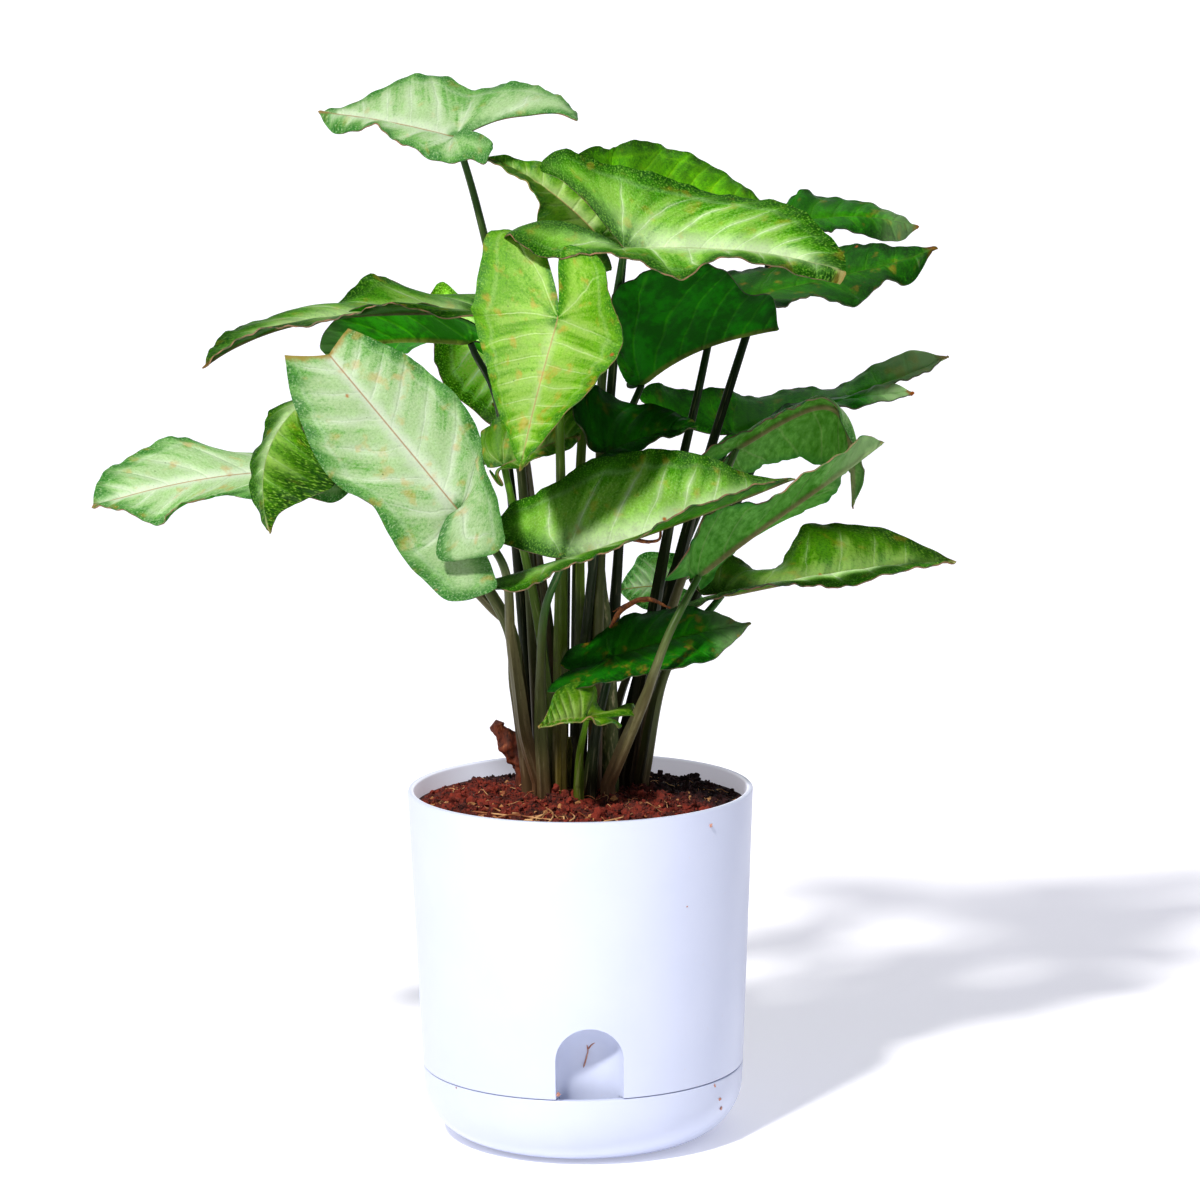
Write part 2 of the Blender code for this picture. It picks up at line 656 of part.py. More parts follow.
def cut_all(obj, cutters_in, collection):
    """Cuts every bore at once."""
    group = bpy.data.collections.new("bores")
    collection.children.link(group)
    for cutter in cutters_in:
        group.objects.link(cutter)
    step = obj.modifiers.new("Bores", "BOOLEAN")
    step.operation = "DIFFERENCE"
    step.operand_type = "COLLECTION"
    step.collection = group
    step.solver = "EXACT"
    bpy.context.view_layer.update()
    settle(obj)
    for cutter in cutters_in:
        bpy.data.objects.remove(cutter)
    bpy.data.collections.remove(group)


def chip(name, grow, collection):
    """A broken splinter of bark, standing askew in the soil."""
    points = [CHIP_FOOT, (-27.5, 8, 130), (-29, 9, 140), CHIP_TOP]
    radii = [2.6 + grow, 2.8 + grow, 3.6 + grow, 2.2 + grow]
    return tube(name, points, radii, collection, 6)


def make_soil(parts, cutters):
    soil = soil_body(parts)
    boolean(soil, capsule("clear", NICHE_RADIUS + NICHE_WALL + GAP, 10, cutters), "DIFFERENCE")
    cut_all(soil, stem_bores(cutters) + [chip("chip_bore", 0.5, cutters)], cutters)
    return soil


def make_bare_stem(name, parts, cutters):
    points, radii = BARE_STEMS[name]
    x, y, _ = points[0]
    ground = soil_top(x, y)
    run = [(x, y, ground - STEM_IN_SOIL), (x, y, ground + 3), *points[1:]]
    sizes = [radii[0], radii[0], *radii[1:]]
    obj = tube(name, run, sizes, parts, 8)
    if name == "stem_thick":
        x, y, z = THICK_STEM_NODE
        ends = ((x, y, z - 1.5), (x, y, z), (x, y, z + 1.5))
        ring = tube("ring", ends, (3.7, 4.3, 3.7), cutters, 8)
        boolean(obj, ring, "UNION", "MANIFOLD")
    return obj


def finish(obj, finish_name):
    obj.data.materials.clear()
    obj.data.materials.append(material_named(obj.name + "_" + finish_name, finish_name))
    for face in obj.data.polygons:
        face.use_smooth = False
        face.material_index = 0


def main():
    clear_scene()
    parts = collection_named("arrowhead_plant", False)
    cutters = collection_named("cutters", True)
    finish(make_planter(parts, cutters), "white_plastic")
    finish(make_bowl(parts), "white_plastic")
    finish(make_soil(parts, cutters), "cocopeat")
    for name in BARE_STEMS:
        finish(make_bare_stem(name, parts, cutters), "stem")
    finish(chip("bark_chip", 0, parts), "bark")
    for name, leaf in FULL.items():
        finish(make_leaf(name, leaf, parts, cutters), leaf["skin"])


FULL = {name: {**PLAIN, **leaf} for name, leaf in LEAVES.items()}
main()
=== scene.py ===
# %% [markdown]
# # Arrowhead plant in a self-watering pot
#
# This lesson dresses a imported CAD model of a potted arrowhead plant. About two dozen silvery,
# arrow-shaped leaves rise on long stalks from moist cocopeat, in a white pot that stands on its
# own water bowl. The CAD holds each leaf as a coarse solid. Here every leaf gets a fine blade
# with quilted veins, and the pot, the soil and the old stems get their real surface.

import math

import bpy
import numpy as np
from mathutils import Matrix, Vector, noise


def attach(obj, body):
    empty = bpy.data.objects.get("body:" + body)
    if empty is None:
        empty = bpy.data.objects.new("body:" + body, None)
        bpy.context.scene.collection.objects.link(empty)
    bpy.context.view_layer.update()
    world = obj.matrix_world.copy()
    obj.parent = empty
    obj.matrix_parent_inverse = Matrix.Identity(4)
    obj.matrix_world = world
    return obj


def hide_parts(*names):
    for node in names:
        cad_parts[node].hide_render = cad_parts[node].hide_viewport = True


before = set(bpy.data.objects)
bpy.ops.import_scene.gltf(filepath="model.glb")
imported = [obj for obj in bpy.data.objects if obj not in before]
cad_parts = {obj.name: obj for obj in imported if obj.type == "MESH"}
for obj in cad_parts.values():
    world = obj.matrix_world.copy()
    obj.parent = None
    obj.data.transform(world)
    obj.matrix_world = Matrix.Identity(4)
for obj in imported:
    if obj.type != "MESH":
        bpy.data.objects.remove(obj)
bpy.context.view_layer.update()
MM = 0.001

# %% [markdown]
# The photo was taken from about 1.7 m away with a long lens, a little above the leaves. The
# camera stands where the pot's two ellipses and the plant's height put it, and it leans half a
# degree to one side. It could be aimed at an empty, but the angles are known, so they are set.

# %% Camera
SENSOR_MM = 36
FOCAL_PX = 4722
PHOTO_PX = 1200
STANDS_AT = (0.0081, -1.7436, 0.4932)
LOOKS_DOWN = 9.41
LEANS = -0.55

bpy.ops.object.camera_add(location=STANDS_AT)
camera = bpy.context.object
camera.data.lens = SENSOR_MM * FOCAL_PX / PHOTO_PX
camera.data.clip_end = 50
upright = Matrix.Rotation(math.radians(90 - LOOKS_DOWN), 4, "X")
camera.rotation_euler = (upright @ Matrix.Rotation(math.radians(LEANS), 4, "Z")).to_euler()
bpy.context.scene.camera = camera
print("lens", round(camera.data.lens, 1), "mm")

# %% [markdown]
# Every piece is started from a primitive, so each step begins with nothing selected. Most
# pieces of a plant are bent sheets and tubes, and a grid makes both. Its points are read as one
# table, moved with plain maths and written back, which is quicker than moving them one by one.

# %% Selecting, and reading points


def only(*objects):
    """Selects these objects alone. The first becomes the active one."""
    bpy.ops.object.select_all(action="DESELECT")
    for obj in objects:
        obj.select_set(True)
    bpy.context.view_layer.objects.active = objects[0]


def joined(*objects):
    """Makes one object of them."""
    only(*objects)
    bpy.ops.object.join()
    return bpy.context.object


def grid(across, along):
    """A new grid object, and each point's share from 0 to 1 across and along it."""
    bpy.ops.object.select_all(action="DESELECT")
    bpy.ops.mesh.primitive_grid_add(x_subdivisions=across, y_subdivisions=along, size=2)
    obj = bpy.context.object
    points = read_points(obj)
    return obj, (points[:, 0] + 1) / 2, (points[:, 1] + 1) / 2


def read_table(rows, name):
    """Three numbers of each row of a mesh, as one table."""
    flat = np.empty(len(rows) * 3)
    rows.foreach_get(name, flat)
    return flat.reshape(-1, 3)


def read_points(obj):
    return read_table(obj.data.vertices, "co")


def read_normals(obj):
    return read_table(obj.data.vertex_normals, "vector")


def write_points(obj, points):
    obj.data.vertices.foreach_set("co", np.asarray(points, float).ravel())
    obj.data.update()


probe, across, along = grid(4, 4)
print("a probe grid:", len(probe.data.vertices), "points, shares", across.min(), across.max())
bpy.data.objects.remove(probe)

# %% [markdown]
# Modifiers are applied at once, so that each mesh is final when its step ends. Edit-mode steps
# work on the whole mesh: doubles are merged where sheets are sewn, and normals face outward.

# %% Modifiers and edit mode
MERGE = 0.01 * MM


def applied(obj, kind, **settings):
    """Adds a modifier and applies it at once."""
    step = obj.modifiers.new(kind, kind)
    for name, value in settings.items():
        setattr(step, name, value)
    only(obj)
    bpy.ops.object.modifier_apply(modifier=step.name)


def edit(obj, *steps):
    """Runs edit-mode steps on the whole mesh."""
    only(obj)
    bpy.ops.object.mode_set(mode="EDIT")
    for step in steps:
        bpy.ops.mesh.select_all(action="SELECT")
        step()
    bpy.ops.object.mode_set(mode="OBJECT")


def merge():
    bpy.ops.mesh.remove_doubles(threshold=MERGE)


def outward():
    bpy.ops.mesh.normals_make_consistent(inside=False)


def turn_over():
    bpy.ops.mesh.flip_normals()


print("points closer than", MERGE / MM, "mm are merged")

# %% [markdown]
# A finished piece rides the CAD body and takes the place of its CAD node. Shading is smooth,
# but edges sharper than an angle stay crisp.

# %% Finished pieces
pieces = []


def finished(obj, name, nodes, angle, material=None):
    """Names a piece, sets it on the CAD body in place of its CAD node, with one material if given.
    """
    if material:
        obj.data.materials.clear()
        obj.data.materials.append(material)
    only(obj)
    bpy.ops.object.shade_smooth_by_angle(angle=math.radians(angle))
    obj.name = name
    obj.data.name = name
    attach(obj, "root")
    if nodes:
        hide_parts(*nodes)
    pieces.append(name)


print("finished pieces so far:", len(pieces))

# %% [markdown]
# Colours are picked as the hex codes that a picture editor shows, but shaders work with linear
# light, so one function turns them. A second one adds a shader node, sets what it is told and
# links any socket that it is given. With it a material reads like a short recipe.

# %% Helpers for materials


def colour(code):
    """A linear colour with alpha from a hex code."""
    parts = [int(code[i:i + 2], 16) / 255 for i in (1, 3, 5)]
    return (*[c / 12.92 if c < 0.0404 else ((c + 0.055) / 1.055) ** 2.4 for c in parts], 1.0)


def add(tree, kind, *values, out=0, **settings):
    """Adds a shader node. Values fill its inputs in order, and settings go by name."""
    made = tree.nodes.new("ShaderNode" + kind)
    for name, value in settings.items():
        if name not in made.inputs:
            setattr(made, name, value)
    named = [(made.inputs[name], value) for name, value in settings.items() if name in made.inputs]
    for socket, value in list(zip(made.inputs, values)) + named:
        if isinstance(value, bpy.types.NodeSocket):
            tree.links.new(value, socket)
        elif value is not None:
            socket.default_value = value
    return made.outputs[out] if made.outputs else made


def empty_material(name):
    """A new material and its empty tree."""
    made = bpy.data.materials.new(name)
    made.use_nodes = True
    made.node_tree.nodes.clear()
    return made, made.node_tree


def surface_of(tree, shader):
    """Puts the shader on the surface."""
    out = tree.nodes.new("ShaderNodeOutputMaterial")
    tree.links.new(shader, out.inputs["Surface"])


SOFT = {"interpolation_type": "SMOOTHSTEP"}
TIMES = {"operation": "MULTIPLY"}
PLUS = {"operation": "ADD"}
LESS = {"operation": "SUBTRACT"}
MOST = {"operation": "MAXIMUM"}
print("mid grey is", round(colour("#808080")[0], 3), "in linear light")

# %% [markdown]
# A blade is a flat outline that is then bent. The outline of each half runs from the lobe's end
# over the broadest place to the tip, and the sinus edge runs from the lobe back to the stem. The
# spine is a curve in space, and each half is folded up from it, curled at the margin and waved.
# The table holds these numbers for every leaf, read off the photo leaf by leaf. A cloth
# simulation could bend leaves too, but it would not put each lobe where the photo has it.

# %% The leaves in numbers
# What a leaf has when its own row doesn't say otherwise. Pairs are the left and the right half,
# seen along the tip with the upper side up. Folds are at the lobe's end, at the stem and at the
# tip. Sinus says how far, in mm, each half bulges beside the stem.
PLAIN = dict(
    roll=0, bank=0, rise=15, fall=-15, bow=0.33, width=(30, 30), belly=0.3, neck=0.9,
    lobe=(25, 25), lobe_x=(0.5, 0.5), lobe_w=(0.85, 0.85), gap=(0.15, 0.15), fold_l=(0, 10, 10),
    fold_r=(0, 10, 10), curl=(-10, -10), curl_lobe=None, lift=(0, 0), wave=(1.5, 1.5), waves=2.0,
    phase=(0, 90), cut=0, via=(), thick=1.0, skin="silver", sinus=((0, 0, 0), (0, 0, 0)), end=0,
)

# Base is where the stem meets the blade, tip the far end, foot where the stem enters the soil
# and via what it bends through. Looks is how the leaf departs from the plain paint: how much
# rust, how brown the tip, how silvery the middle, how light it is, and how far its hue turns to
# yellow below 0 or to blue above it. The lightness is painted light and shade: it lifts leaves
# that stand in shadow and darkens others for how the light falls on them. Looks_right is given
# where the right half has others, often a half painted darker as shade. End is how pale and dry
# the blade is towards its tip, and on some leaves in shade it is painted light as well.
LEAVES = {
    "leaf_top": dict(
        base=(-43, 5, 377), tip=(-96, 38, 385), foot=(-9, 13),
        via=((-21, 20, 266), (-27, 22, 307), (-36, 13, 350)), roll=-20, rise=5, fall=-5,
        width=(17, 31), belly=0.15, lobe=(24, 40), lobe_x=(0.55, 0.8), lobe_w=(1.1, 1.05),
        gap=(0.2, 0.65), sinus=((-5.5, 0, 7.3), (0, 0, 0)), fold_l=(8, 10, 10),
        fold_r=(42, 24, 22), curl=(-10, -20), curl_lobe=(-10, -80), wave=(3.5, 4), waves=1.5,
        phase=(160, -75), looks=(0.3, 0.0, 0.8, 0.98, 0.0),
    ),
    "leaf_young_curled": dict(
        base=(9, 15, 339), tip=(-34, 25, 368), foot=(-2, 14), via=((1, 15, 248),), roll=-35,
        rise=22, fall=-28, width=(11, 7), lobe=(12, 14), fold_l=(-10, 0, 50), fold_r=(20, 20, 10),
        skin="young", looks=(0.1, 0.0, 0.1, 0.5, 0.0), looks_right=(0.1, 0.0, 0.75, 1.0, 0.0),
    ),
    "leaf_upper_right": dict(
        base=(18, -34, 339), tip=(97, -59, 332), foot=(6, -6),
        via=((8, -5, 220), (9, 7, 267), (10, 3, 290), (15, -18, 319)), roll=15, rise=8, fall=-14,
        width=(34, 27), belly=0.25, lobe=(38, 46), sinus=((3, 0, 9), (2, 0, 9)),
        fold_l=(62, 42, 25), fold_r=(30, 8, 8), curl=(-15, -10), lift=(0, 8), wave=(1, 3),
        skin="fresh", looks=(0.3, 0.4, 0.8, 1.05, 0.0),
    ),
    "leaf_centre": dict(
        base=(-6, -54, 316), tip=(-20, -72, 263), foot=(-7, -9),
        via=((-6, -9, 206), (-6, -22, 268), (-6, -34, 295)), roll=-15, rise=5, fall=-10,
        width=(30, 34), belly=0.14, neck=0.95, lobe=(22, 32), lobe_x=(0.6, 0.6),
        lobe_w=(0.92, 0.92), sinus=((-4, 0, 0), (0, 0, 0)), fold_l=(5, 5, 10), fold_r=(5, 5, 10),
        lift=(-20, -25), skin="young", looks=(0.6, 0.3, 0.6, 0.97, 0.0),
    ),
    "leaf_left_front": dict(
        base=(-42, -62, 247), tip=(-91, -45, 305), foot=(-16, -6),
        via=((-21, -9, 155), (-23, -15, 173), (-25, -26, 195), (-27, -46, 225)), roll=-62, rise=3,
        fall=-3, width=(28, 27), belly=0.42, neck=0.8, lobe=(31, 26), lobe_x=(0.45, 0.5),
        lobe_w=(0.9, 1.2), sinus=((3, 0, 1), (-12, -7, 6.5)), fold_l=(0, 0, 0),
        fold_r=(40, 10, 5), curl_lobe=(-10, -10), cut=0.45, looks=(0.45, 0.0, 1.0, 0.9, 0.0),
    ),
    "leaf_far_left": dict(
        base=(-95, 0, 254), tip=(-179, -20, 244), foot=(-20, 6),
        via=((-25, 5, 188), (-34, 3, 203), (-66, 0, 235)), roll=-35, width=(20, 22), belly=0.55,
        lobe=(22, 24), fold_l=(0, 0, 0), fold_r=(25, 0, 0), wave=(4, 3), waves=2.15,
        phase=(103, 50), looks=(0.6, 0.3, 1.0, 1.08, 0.0),
    ),
    "leaf_left_hanging": dict(
        base=(-93, -28, 287), tip=(-112, -36, 236), foot=(-20, 0),
        via=((-24, -4, 171), (-29, -10, 202), (-65, -22, 257)), roll=18, rise=45, fall=-40,
        bow=0.4, width=(12, 12), lobe=(15, 15), skin="fresh", looks=(0.3, 0.3, 0.0, 1.0, -0.015),
        looks_right=(0.3, 0.3, 0.6, 0.9, 0.0),
    ),
    "leaf_left_long": dict(
        base=(-34, -8, 314), tip=(-136, -30, 296), foot=(-15, 10), via=((-22, 12, 263),), rise=12,
        fall=-30, width=(16, 24), belly=0.35, lobe=(16, 12), fold_l=(10, -5, 5),
        fold_r=(10, 10, 5), curl=(-10, -30), wave=(3, 9), waves=1.5, phase=(80, -80),
        skin="fresh", looks=(0.3, 0.5, 0.15, 0.6, 0.0), looks_right=(0.3, 0.5, 0.4, 0.85, 0.0),
    ),
    "leaf_left_shaded": dict(
        base=(-39, -1, 302), tip=(-91, -10, 297), foot=(-17, 16), via=((-27, 14, 263),), roll=20,
        rise=12, fall=-25, width=(17, 22), lobe=(11, 10), skin="deep", end=0.6,
        looks=(0.2, 0.0, 0.5, 3.2, -0.01),
    ),
    "leaf_behind_centre": dict(
        base=(-32, 46, 299), tip=(-24, 38, 258), foot=(-8, 20), width=(25, 30), lobe=(22, 24),
        skin="fresh", end=0.9, looks=(0.2, 0.0, 1.0, 3.0, -0.015),
    ),
    "leaf_young_low": dict(
        base=(-27, -12, 257), tip=(1, -3, 267), foot=(-9, -3), roll=50, width=(24, 8),
        lobe=(20, 8), skin="young", looks=(0.7, 0.3, 0.3, 0.66, 0.0),
    ),
    "leaf_shaded_middle": dict(
        base=(11, -16, 262), tip=(45, -8, 270), foot=(0, -3), roll=25, width=(24, 7),
        lobe=(20, 12), fold_l=(40, 15, 10), skin="deep", looks=(0.2, 0.0, 0.2, 0.7, 0.0),
    ),
    "leaf_front_right": dict(
        base=(-5, -45, 227), tip=(79, -55, 257), foot=(-13, -12),
        via=((-14, -15, 160), (-14, -24, 185), (-12, -36, 207)), roll=38, rise=-5, fall=0,
        width=(36, 24), belly=0.2, lobe=(24, 34), fold_l=(15, 20, 15), fold_r=(25, 35, 25),
        lift=(0, 20), wave=(1, 2), skin="fresh", looks=(0.4, 0.0, 0.9, 0.92, 0.0),
    ),
    "leaf_low_right": dict(
        base=(54, 12, 204), tip=(143, 20, 214), foot=(24, 8), via=((33, 10, 176),), roll=25,
        rise=5, fall=-10, width=(27, 14), belly=0.5, lobe=(20, 18), fold_l=(15, 28, 12),
        fold_r=(25, 35, 20), wave=(6, 1), waves=1.8, phase=(130, 0), skin="fresh",
        looks=(0.25, 0.2, 0.1, 0.75, -0.01), looks_right=(0.25, 0.2, 1.0, 1.35, 0.0),
    ),
    "leaf_right_folded": dict(
        base=(44, -37, 219), tip=(113, -25, 266), foot=(11, -13),
        via=((23, -31, 169), (28, -46, 186), (34, -46, 201)), roll=-50, rise=5, fall=0,
        width=(20, 23), belly=0.2, lobe=(16, 18), end=0.9, looks=(0.4, 0.4, 0.4, 1.05, 0.0),
    ),
    "leaf_right_arching": dict(
        base=(60, 30, 257), tip=(105, 46, 231), foot=(20, 14), via=((36, 28, 198),), bank=-50,
        rise=57, fall=-63, bow=0.87, width=(20, 16), lobe=(18, 18), end=0.4,
        looks=(0.3, 0.3, 0.6, 1.3, -0.005),
    ),
    "leaf_right_dark": dict(
        base=(60, 80, 256), tip=(146, 100, 283), foot=(14, 21), via=((33, 44, 198),), roll=10,
        rise=-5, fall=5, width=(20, 14), lobe=(36, 16), fold_l=(60, 18, 10), skin="deep", end=1.0,
        looks=(0.3, 0.6, 0.5, 1.5, -0.01),
    ),
    "leaf_right_narrow": dict(
        base=(74, 60, 261), tip=(129, 58, 274), foot=(17, 28), via=((46, 42, 201),), roll=10,
        width=(10, 10), lobe=(10, 10), skin="deep", end=0.9, looks=(0.3, 1.0, 0.3, 1.3, 0.0),
    ),
    "leaf_back_top": dict(
        base=(20, 35, 349), tip=(76, 55, 344), foot=(5, 20), roll=35, rise=10, fall=-20,
        width=(28, 16), lobe=(26, 20), fold_l=(30, 10, 10), skin="deep",
        looks=(0.1, 0.0, 0.7, 1.7, -0.035),
    ),
    "leaf_back_right": dict(
        base=(79, 70, 338), tip=(133, 88, 335), foot=(21, 21), via=((43, 38, 229),), roll=20,
        fall=-20, width=(18, 12), lobe=(16, 16), skin="deep", end=0.5,
        looks=(0.4, 0.8, 0.2, 1.1, -0.01),
    ),
    "leaf_shaded_right": dict(
        base=(53, 30, 312), tip=(138, 52, 330), foot=(18, 7), via=((35, 14, 233), (46, 20, 281)),
        roll=10, rise=0, fall=5, width=(24, 24), lobe=(20, 20), fold_r=(-5, -5, -20), wave=(1, 3),
        waves=2.5, skin="deep", looks=(0.4, 0.6, 0.2, 0.72, -0.01),
    ),
    "leaf_funnel": dict(
        base=(24, 3, 285), tip=(75, -9, 306), foot=(10, 9), via=((15, 10, 218), (19, 10, 267)),
        roll=-40, rise=30, fall=-20, width=(20, 45), belly=0.5, lobe=(14, 18),
        fold_l=(60, 60, 40), fold_r=(0, 0, 0), lift=(90, 90), skin="deep",
        looks=(0.15, 0.2, 0.35, 1.25, 0.0),
    ),
    "leaf_low_dark": dict(
        base=(13, -23, 187), tip=(64, -21, 198), foot=(4, -12), roll=25, rise=5, fall=-10,
        width=(18, 20), belly=0.4, lobe=(22, 26), sinus=((0, 0, -4), (0, 0, 0)), skin="deep",
        end=0.6, looks=(0.6, 0.4, 0.25, 1.0, 0.0),
    ),
    "leaf_small_low": dict(
        base=(3, -40, 167), tip=(-15, -52, 166), foot=(-1, -18), roll=-25, width=(12, 13),
        lobe=(12, 20), lift=(0, 30), thick=0.75, skin="young",
        looks=(0.2, 0.0, 0.35, 0.85, -0.01),
    ),
    "leaf_back_low": dict(
        base=(36, 52, 201), tip=(15, 60, 198), foot=(9, 27), roll=-60, width=(10, 14),
        lobe=(12, 12), thick=0.8, looks=(0.2, 0.0, 0.6, 2.6, 0.0),
    ),
}
for leaf_name, leaf in LEAVES.items():
    looks = leaf["looks"], leaf.pop("looks_right", leaf["looks"])
    LEAVES[leaf_name] = {**PLAIN, **leaf, "looks": looks}
print(len(LEAVES), "leaves")

# %% [markdown]
# The CAD leaves are plain shapes. A real leaf has dents, bumps and rounded lobes of its own, so
# here the margin is pulled about. Each half has nine pulls, evenly spread from the lobe's end
# round to the tip, each so many millimetres to the right and up, and those left out are 0. In
# between they blend, and towards the midrib they fade.

